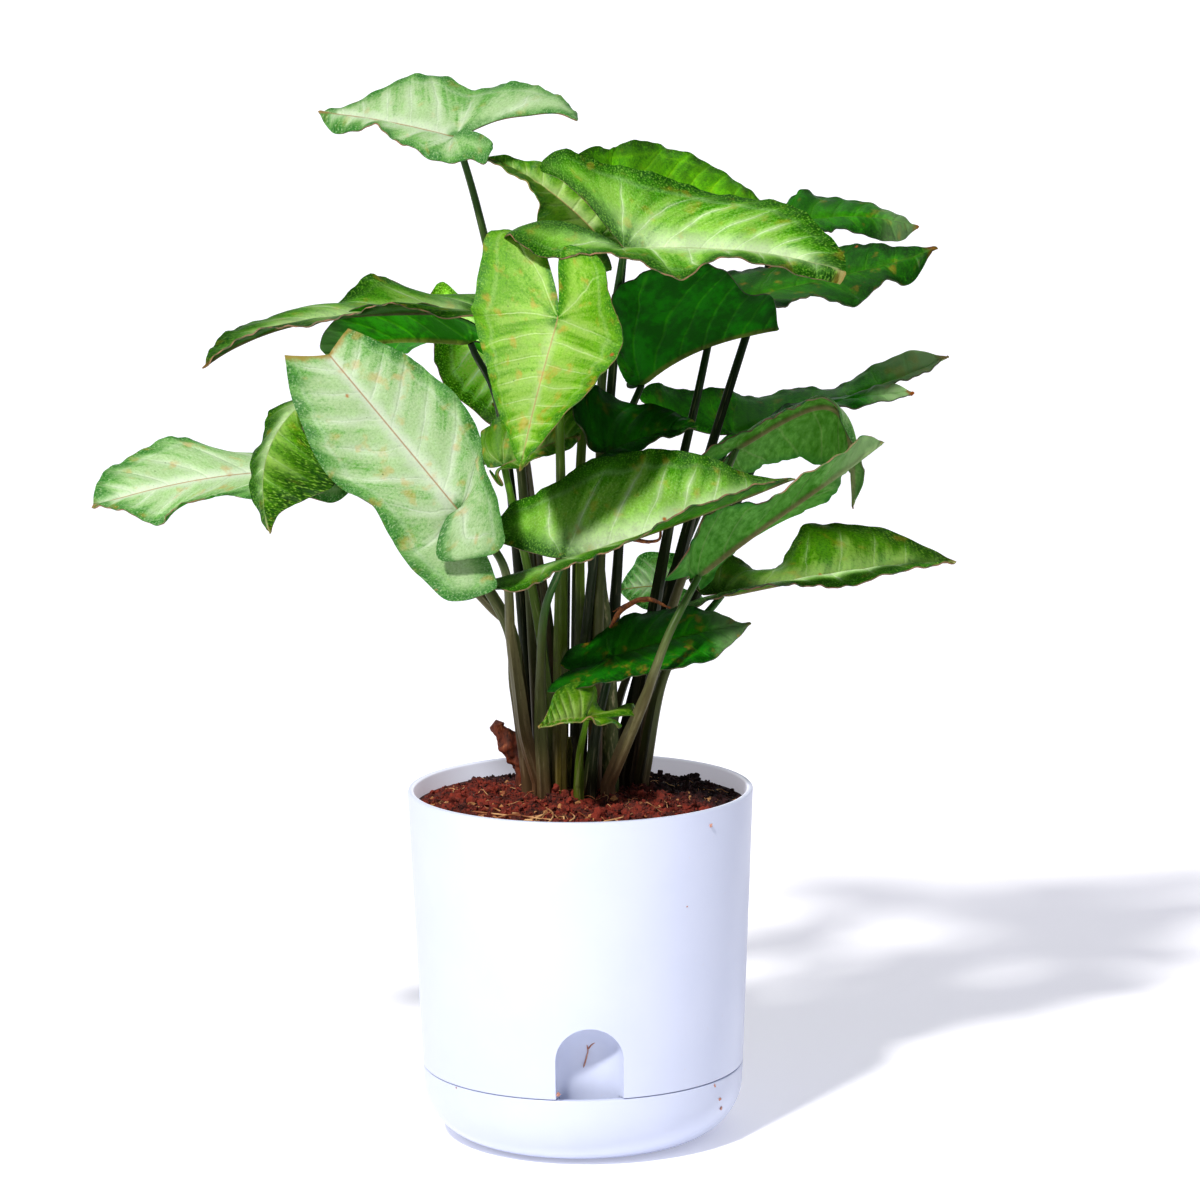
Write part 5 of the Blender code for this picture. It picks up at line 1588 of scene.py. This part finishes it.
# %% [markdown]
# Crumbs are modelled once in a few shapes: a small icosphere knocked out of round by noise.
# Coir dust has no flat faces or straight edges, so noise is nearer to it than broken cubes.

# %% Shapes of crumbs
draw = np.random.default_rng(11)


def crumb_shape(cuts, seed, rough):
    """Points and triangles of one lump of about unit size."""
    bpy.ops.object.select_all(action="DESELECT")
    bpy.ops.mesh.primitive_ico_sphere_add(subdivisions=cuts, radius=1)
    obj = bpy.context.object
    shaped = []
    for vert in obj.data.vertices:
        push = noise.fractal(vert.co * 1.3 + Vector((seed * 5.1, 0, 0)), 1.0, 2.0, 2)
        shaped.append(vert.co * (1 + rough * push))
    faces = [tuple(face.vertices) for face in obj.data.polygons]
    bpy.data.objects.remove(obj)
    return np.array(shaped), np.array(faces)


def random_turn():
    """A random rotation as a 3 by 3 matrix."""
    q = draw.normal(size=4)
    w, x, y, z = q / np.linalg.norm(q)
    return np.array([
        [1 - 2 * (y * y + z * z), 2 * (x * y - w * z), 2 * (x * z + w * y)],
        [2 * (x * y + w * z), 1 - 2 * (x * x + z * z), 2 * (y * z - w * x)],
        [2 * (x * z - w * y), 2 * (y * z + w * x), 1 - 2 * (x * x + y * y)],
    ])


print("a crumb has", len(crumb_shape(2, 0, 0.85)[1]), "triangles")

# %% [markdown]
# Each copy is turned, sized and half pressed into the top, and the copies of one kind make up
# one mesh. Each crumb carries a number of its own, from which the material picks its shade.

# %% Scattering


def scattered(name, shapes, places):
    """One mesh with a copy of a shape at each place: point in mm, size and its own number."""
    verts, faces, tones = [], [], []
    count = 0
    for at, size, own in places:
        shape, triangles = shapes[int(draw.integers(len(shapes)))]
        stretch = size * draw.uniform(0.7, 1.15, 3)
        placed = (shape * stretch) @ random_turn().T + np.array(at)
        verts.append(placed * MM)
        faces.append(triangles + count)
        tones += [own] * len(placed)
        count += len(placed)
    mesh = bpy.data.meshes.new(name)
    mesh.from_pydata(np.vstack(verts).tolist(), [], np.vstack(faces).tolist())
    obj = bpy.data.objects.new(name, mesh)
    bpy.context.scene.collection.objects.link(obj)
    keep(obj, "crumb", (np.array(tones), 0.0, 0.0))
    return obj


def on_soil(size, reach=61.0):
    """A random place on the soil's top for a lump of that size."""
    r = min(reach * math.sqrt(draw.random()), 61.8 - size)
    a = draw.uniform(0, 2 * math.pi)
    x, y = r * math.cos(a), r * math.sin(a)
    return x, y, rough_top(x, y) + size * draw.uniform(-0.25, 0.35)


print("the soil's top at its middle:", round(rough_top(0, 0), 1), "mm")

# %% [markdown]
# Dust lies between the crumbs and makes the edge of each one soft, and a few clods stand above
# them. Radii follow the photo: dust under a millimetre, crumbs up to two, clods up to three.

# %% Dust, crumbs and clods
DUST = 5200
CRUMBS = 1300
CLODS = 70
dust_shapes = [crumb_shape(1, 20 + k, 0.9) for k in range(5)]
small_shapes = [crumb_shape(2, k, 0.85) for k in range(5)]
large_shapes = [crumb_shape(3, 10 + k, 0.9) for k in range(4)]


def many(count, middle, spread, low, high):
    """Places for lumps, with sizes that crowd about a middle one."""
    places = []
    for _ in range(count):
        size = float(np.clip(draw.lognormal(middle, spread), low, high))
        places.append((on_soil(size), size, draw.random()))
    return places


dust_places = many(DUST, -0.65, 0.35, 0.25, 1.0)
small_places = many(CRUMBS, -0.15, 0.4, 0.4, 1.9)
large_places = []
for _ in range(CLODS):
    size = draw.uniform(1.6, 2.9)
    large_places.append((on_soil(size, 58), size, draw.random()))
dust = scattered("dust", dust_shapes, dust_places)
crumbs = scattered("crumbs", small_shapes, small_places)
clods = scattered("clods", large_shapes, large_places)
print("triangles:", [len(made.data.polygons) for made in (dust, crumbs, clods)])

# %% [markdown]
# Coir also keeps short tan fibres and bits of husk, and pale thin roots of the plant show at
# the surface. Each is a short tube along a gently curved line that lies on the top.

# %% Fibres and roots
FIBRES = 90
SPANS = 8


def strand(x, y, length, radius, bend, around=5):
    """A thin curved tube that lies on the soil."""
    heading = draw.uniform(0, 2 * math.pi)
    path = []
    for k in range(SPANS + 1):
        path.append((x, y, rough_top(x, y) + radius + 0.5 + 0.6 * math.sin(k * 0.8)))
        heading += bend * draw.normal()
        x += length / SPANS * math.cos(heading)
        y += length / SPANS * math.sin(heading)
        r = math.hypot(x, y)
        if r > 60:
            x, y = x * 60 / r, y * 60 / r
    taper = np.interp(np.arange(SPANS + 1), [0, 1, 7, 8], [0.4, 1, 0.8, 0.3])
    return tube(path, radius * taper, around)


strands = []
for _ in range(FIBRES):
    x, y = on_soil(1.0, 58)[:2]
    strands.append(strand(x, y, draw.uniform(5, 15), draw.uniform(0.1, 0.24), 0.4))
for x, y in ((-30, -38), (-22, -44), (-12, -36), (-5, -50), (-36, -20), (12, -42), (28, -36)):
    strands.append(strand(x, y, draw.uniform(14, 24), 0.42, 0.35, 7))
for root in (
    ((-41, -28), (-30, -33), (-18, -33), (-10, -36)),
    ((-34, -41), (-26, -37), (-16, -39), (-8, -45)),
    ((-15, -51), (-11, -45), (-10, -37), (-13, -30)),
    ((-5, -50), (-2, -44), (-4, -37)),
    ((-38, -33), (-33, -39), (-24, -42)),
    ((8, -47), (15, -43), (20, -37)),
):
    path = smooth_through([(x, y, rough_top(x, y) + 1.6) for x, y in root], 6)
    strands.append(tube(path, np.linspace(0.42, 0.2, len(path)), 6))
fibres = joined(*strands)
print("fibres", len(fibres.data.polygons), "faces")

# %% [markdown]
# Moist cocopeat is a dark reddish brown that turns orange where it dries, with almost black
# hollows. The body reads noise at its place in the pot, and each crumb adds its own number.
# Towards the right back all of it is painted almost black, as painted shade.

# %% Soil materials


def cocopeat(name, reads_crumb):
    """Moist coir dust: matt, reddish brown, with painted shade towards the right back."""
    made, t = empty_material(name)
    place = add(t, "TexCoord", out=3)
    lumps = add(t, "TexNoise", place, None, 260.0, 4.0, 0.65)
    fine = add(t, "TexNoise", place, None, 1500.0, 3.0, 0.6)
    dry = add(t, "MapRange", lumps, 0.4, 0.66, **SOFT)
    if reads_crumb:
        own = three(t, "crumb")[0]
        drier = add(t, "MapRange", own, 0.3, 1.0, 0.0, 0.9)
        dry = add(t, "Math", drier, dry, use_clamp=True, **PLUS)
    shade = add(t, "MixRGB", dry, colour("#280C0C"), colour("#7A2A1C"))
    light = add(t, "MapRange", fine, 0.45, 0.75, 0.0, 0.5)
    shade = add(t, "MixRGB", light, shade, colour("#A84E36"))
    # Painted shade: the soil darkens almost to black towards the right back, where the plant's
    # shadow lies.
    parts = add(t, "SeparateXYZ", place).node.outputs
    back = add(t, "Math", add(t, "Math", parts[0], 0.55, **TIMES), parts[1], **PLUS)
    back = add(t, "Math", back, add(t, "MapRange", lumps, 0.3, 0.7, -0.012, 0.012), **PLUS)
    painted_shade_back = add(t, "MapRange", back, 0.004, 0.026, 0.0, 0.86, **SOFT)
    shade = add(t, "MixRGB", painted_shade_back, shade, colour("#140A10"))
    if reads_crumb:
        husk = add(t, "MapRange", own, 0.955, 0.965, 0.0, 0.8)
        shade = add(t, "MixRGB", husk, shade, colour("#B98A5A"))
    bump = add(t, "Bump", Strength=0.9, Distance=0.0005, Height=fine)
    skin = {"Base Color": shade, "Roughness": 0.9, "Normal": bump}
    surface_of(t, add(t, "BsdfPrincipled", **skin))
    return made


def husk_fibre(name):
    """Dry coir fibre, tan with darker stretches."""
    made, t = empty_material(name)
    place = add(t, "TexCoord", out=3)
    patches = add(t, "MapRange", add(t, "TexNoise", place, None, 120.0, 2.0), 0.4, 0.6)
    shade = add(t, "MixRGB", patches, colour("#8A5230"), colour("#D0A878"))
    surface_of(t, add(t, "BsdfPrincipled", **{"Base Color": shade, "Roughness": 0.7}))
    return made


for obj, name, material, nodes in (
    (soil, "soil_body", cocopeat("moist cocopeat", False), ["soil"]),
    (dust, "soil_dust", cocopeat("fine coir dust", True), []),
    (crumbs, "soil_crumbs", cocopeat("loose cocopeat", True), []),
    (clods, "soil_clods", cocopeat("cocopeat clods", True), []),
    (fibres, "soil_fibres", husk_fibre("coir fibre"), []),
):
    finished(obj, name, nodes, 60, material)
print("the soil's pieces:", pieces[-5:])

# %% [markdown]
# Old growth stands among the stalks: a thick stem with a ringed node where a leaf once sat, and
# a dead stump. Both are tubes along a path, roughened with noise.

# %% Old stems


def roughened(obj, scale, depth):
    """Pushes each point in or out by noise, in mm."""
    points = read_points(obj)
    push = [noise.fractal(Vector(p) * scale / MM, 1.0, 2.0, 3) for p in points]
    write_points(obj, points + read_normals(obj) * np.array(push)[:, None] * depth * MM)


def thick_section(angle, share):
    """The ring of a node, and the flat edges of an old sheath."""
    ring = 0.22 * np.exp(-((share - 0.63) / 0.012) ** 2)
    return 1 + ring + 0.1 * np.exp(-((angle - 1.0) / 0.15) ** 2) * soft(share, 0.6, 0.4)


FRONT = (0, -1, 0)
path = smooth_through([(11, 2, 115), (11, 2, 160), (9.4, 2, 188), (8, 2, 205), (5, 2, 232)], 16)
radii = np.interp(path[:, 2], [115, 195, 232], [3.6, 3.5, 2.6])
thick = tube(path, radii, 20, FRONT, thick_section)
roughened(thick, 0.15, 0.25)
path = smooth_through([(-4.6, 4.6, 115), (-5, 4, 140), (-6, 3, 152)], 12)
stump = tube(path, np.interp(path[:, 2], [115, 140, 152], [3.0, 3.0, 2.6]), 16, FRONT)
roughened(stump, 0.2, 0.4)
print("old stem and stump, mm:", [round(obj.dimensions[2] / MM) for obj in (thick, stump)])

# %% [markdown]
# A forked splinter of bark is left from the old wood that the cutting grew on. Two rough tubes
# make it. Sculpting would give a finer break, but it shows at the size of a fingertip only.

# %% Bark chip
path = [(-22, 8, 124), (-22.5, 8, 138), (-24.5, 8, 144), (-28, 8.5, 150), (-31, 9, 156)]
path = smooth_through(path, 8)
bark = tube(path, np.interp(path[:, 2], [124, 138, 147, 156], [1.8, 2.6, 4.0, 2.6]), 22)
path = smooth_through([(-25, 8, 145), (-22.6, 6.5, 149.5), (-21, 5.5, 152.5)], 6)
arm = tube(path, np.linspace(2.8, 1.5, len(path)), 16)
bark = joined(bark, arm)
roughened(bark, 0.26, 1.9)
print("bark chip:", [round(side / MM) for side in bark.dimensions], "mm")

# %% [markdown]
# Each petiole grows out of the sheath of the one before it. Spent sheaths dry into thin strips
# that roll up across their width, and one thread of them curls away like a tendril. A broader
# one, still green, stands upright between the stalks and shuts the gap between them. Its
# near-black green is painted shade, standing in for the shaded growth behind the stalks.

# %% Spent sheaths


def curled_strip(points, width, curl):
    """A dried sheath: a thin strip along a path, rolled up across its width."""
    path = smooth_through(points, 10)
    obj, across, along = grid(8, len(path) - 1)
    row = np.rint(along * (len(path) - 1)).astype(int)
    directions, sides = frames_along(path, np.array([0.2, -1.0, 0.3]))
    lifts = np.cross(directions, sides)
    angle = (across - 0.5) * curl
    broad = width * np.sin(math.pi * np.clip(along, 0.06, 0.94)) ** 0.5
    out = np.sin(angle) / curl * broad
    rise = (np.cos(angle) - 1) / curl * broad
    write_points(obj, (path[row] + sides[row] * out[:, None] + lifts[row] * rise[:, None]) * MM)
    applied(obj, "SOLIDIFY", thickness=0.25 * MM, offset=0)
    return obj


sheath = curled_strip([(12, -14, 196), (17, -17, 203), (25, -19, 207), (34, -20, 204)], 4.6, 2.6)
other = curled_strip([(13, -14, 202), (20, -17, 205.5), (29, -19, 207)], 2.4, 3.2)
path = [(17, -26, 232), (25, -28, 230.5), (30, -29, 231.5), (30.5, -29, 236)]
path = smooth_through(path, 10)
tendril = tube(path, np.linspace(0.9, 0.4, len(path)), 8)
# The broad sheath is coloured near-black as painted shade, to fill the dark gap between the
# stalks.
path = [(-4.9, 10, 128), (-4.3, 10, 160), (-3.4, 10, 200), (-2.8, 10, 234)]
inner = curled_strip(path, 7.5, 1.7)
sheath = joined(sheath, other, tendril)
roughened(sheath, 0.5, 0.2)
print("dried sheaths:", [round(side / MM) for side in sheath.dimensions], "mm")

# %% [markdown]
# Dead tissue is dry and rough, and it splits lengthwise. One recipe serves all of it: streaks of
# one to three millimetres from a noise that is stretched upward, in three shades from the cracks
# to the worn edges, with a bump that makes the light ones stand out.

# %% Skins of old wood


def old_wood(name, first, second, third, scale):
    """Dead plant tissue: dry, streaked, with dark cracks."""
    made, t = empty_material(name)
    place = add(t, "TexCoord", out=3)
    place = add(t, "VectorMath", place, (1.0, 1.0, 0.25), operation="MULTIPLY")
    streak = add(t, "TexNoise", place, None, scale, 5.0, 0.65)
    worn = add(t, "MapRange", streak, 0.35, 0.55)
    shade = add(t, "MixRGB", worn, colour(first), colour(second))
    shade = add(t, "MixRGB", add(t, "MapRange", streak, 0.58, 0.7), shade, colour(third))
    bump = add(t, "Bump", Strength=0.8, Distance=0.0006, Height=streak)
    skin = {"Base Color": shade, "Roughness": 0.65, "Normal": bump}
    surface_of(t, add(t, "BsdfPrincipled", **skin))
    return made


for obj, name, slot, nodes, look in (
    (thick, "stem_thick_aged", "old_stem", ["stem_thick"],
     ("old green stem", "#28341A", "#56602C", "#A8A078", 420.0)),
    (stump, "stem_stump_aged", "old_stem", ["stem_stump"],
     ("dead olive stem", "#6A6A20", "#A09A34", "#C0B462", 380.0)),
    (bark, "bark_chip_aged", "bark", ["bark_chip"],
     ("splintered bark", "#3C1A10", "#7A3B22", "#B3714A", 500.0)),
    (sheath, "dried_sheaths_aged", "bark", [],
     ("dried leaf sheath", "#4A2410", "#8A5026", "#B98448", 700.0)),
    # The broad inner sheath's near-black green is painted shade.
    (inner, "inner_sheath_painted_shade", "old_stem", [],
     ("green sheath in painted shade", "#0C1A06", "#1A3A10", "#3C5E22", 300.0)),
):
    finished(obj, name, nodes, 50, old_wood(*look))
print("the old wood's pieces:", pieces[-5:])

# %% [markdown]
# Watering has left a few crumbs of peat stuck to the pot, and a thin forked twig of coir in the
# niche. They are small squashed icospheres and tubes that stand a little proud of the wall.

# %% Specks on the pot
SPECKS = (
    (48, 127, 0.6), (39, 98, 0.3), (-9, 30, 0.8), (-47, 27, 0.5),
    (49, 26, 0.7), (51, 20, 0.6), (51.5, 16, 0.7),
)
speck_places = []
for x, z, size in SPECKS:
    r = FOOT + FILLET * math.sin(math.acos(min(1.0, max(0.0, (FILLET - z) / FILLET))))
    if z > SEAM_Z:
        r = wall(z)
    speck_places.append(((x, -math.sqrt(r * r - x * x) - 0.1, z), size, 0.7))
specks = scattered("specks", small_shapes, speck_places)
twigs = []
for line in (
    ((0.3, -49.2, 37), (1.6, -49.0, 41.5), (2.0, -49.0, 44), (0.8, -49.1, 49.5)),
    ((2.0, -49.0, 44), (3.6, -49.3, 46), (5.5, -49.5, 47.2)),
    ((1.4, -49.0, 46.5), (-0.2, -49.2, 47.5)),
):
    path = smooth_through(line, 5)
    twigs.append(tube(path, np.linspace(0.3, 0.2, len(path)), 6))
stuck = old_wood("stuck crumbs of coir", "#9A6454", "#C09080", "#D0AA9A", 900.0)
finished(joined(specks, *twigs), "pot_specks", [], 60, stuck)
print("specks", len(SPECKS), "and twigs", len(twigs))

# %% [markdown]
# A sheet of white paper runs along the floor and up behind, as in a studio. It curves where it
# turns upward, so that no corner shows, and it keeps well back, so that it can be walked round.

# %% Floor
FRONT_EDGE = -2.6
PAPER = 6.4
PAPER_WIDE = 7
FLAT_TO = 1.9
ROUND = 0.6

floor, across, row = grid(24, 60)
run = row * PAPER + FRONT_EDGE
turn = np.clip((run - FLAT_TO) / ROUND, 0, math.pi / 2)
depth = np.where(run < FLAT_TO, run, FLAT_TO + ROUND * np.sin(turn))
rise = ROUND * (1 - np.cos(turn)) + np.clip(run - FLAT_TO - ROUND * math.pi / 2, 0, None)
write_points(floor, np.stack([(across - 0.5) * PAPER_WIDE, depth, rise], -1))
floor.name = "floor_sweep"
paper, t = empty_material("white paper backdrop")
surface_of(t, add(t, "BsdfPrincipled", **{
    "Base Color": colour("#FAFAFC"), "Roughness": 0.9,
    "Emission Color": colour("#F6F6FF"), "Emission Strength": 0.2,
}))
floor.data.materials.append(paper)
only(floor)
bpy.ops.object.shade_smooth()
print("floor sweep:", [round(side, 1) for side in floor.dimensions], "m")

# %% [markdown]
# The photo was lit by one hard light from the upper left and a bright white room. The key light
# is small, so that leaves cast crisp shadows on each other. A dim fill and the pale world stand
# in for the room.

# %% Lights


def lamp(name, at, aim, size, power, tint):
    """An area light that points at a place."""
    bpy.ops.object.light_add(type="AREA", location=at)
    made = bpy.context.object
    made.name = name
    made.rotation_euler = (Vector(aim) - Vector(at)).to_track_quat("-Z", "Y").to_euler()
    made.data.shape = "DISK"
    made.data.size = size
    made.data.energy = power
    made.data.color = colour(tint)[:3]


lamp("key_light", (-0.88, -1.73, 2.16), (0, 0, 0.22), 0.26, 76, "#FFFDF8")
lamp("fill_light", (1.6, -1.4, 0.9), (0, 0, 0.2), 1.6, 1.5, "#E6ECFF")
lamp("top_light", (0.1, 0.9, 1.9), (0, 0, 0.2), 1.2, 3, "#F4F6FF")
world = bpy.data.worlds.new("white room")
bpy.context.scene.world = world
world.use_nodes = True
sky = world.node_tree.nodes["Background"].inputs
sky["Color"].default_value = colour("#F4F4FF")
sky["Strength"].default_value = 0.34
bpy.context.scene.view_settings.view_transform = "Standard"
bpy.context.scene.view_settings.look = "Medium High Contrast"
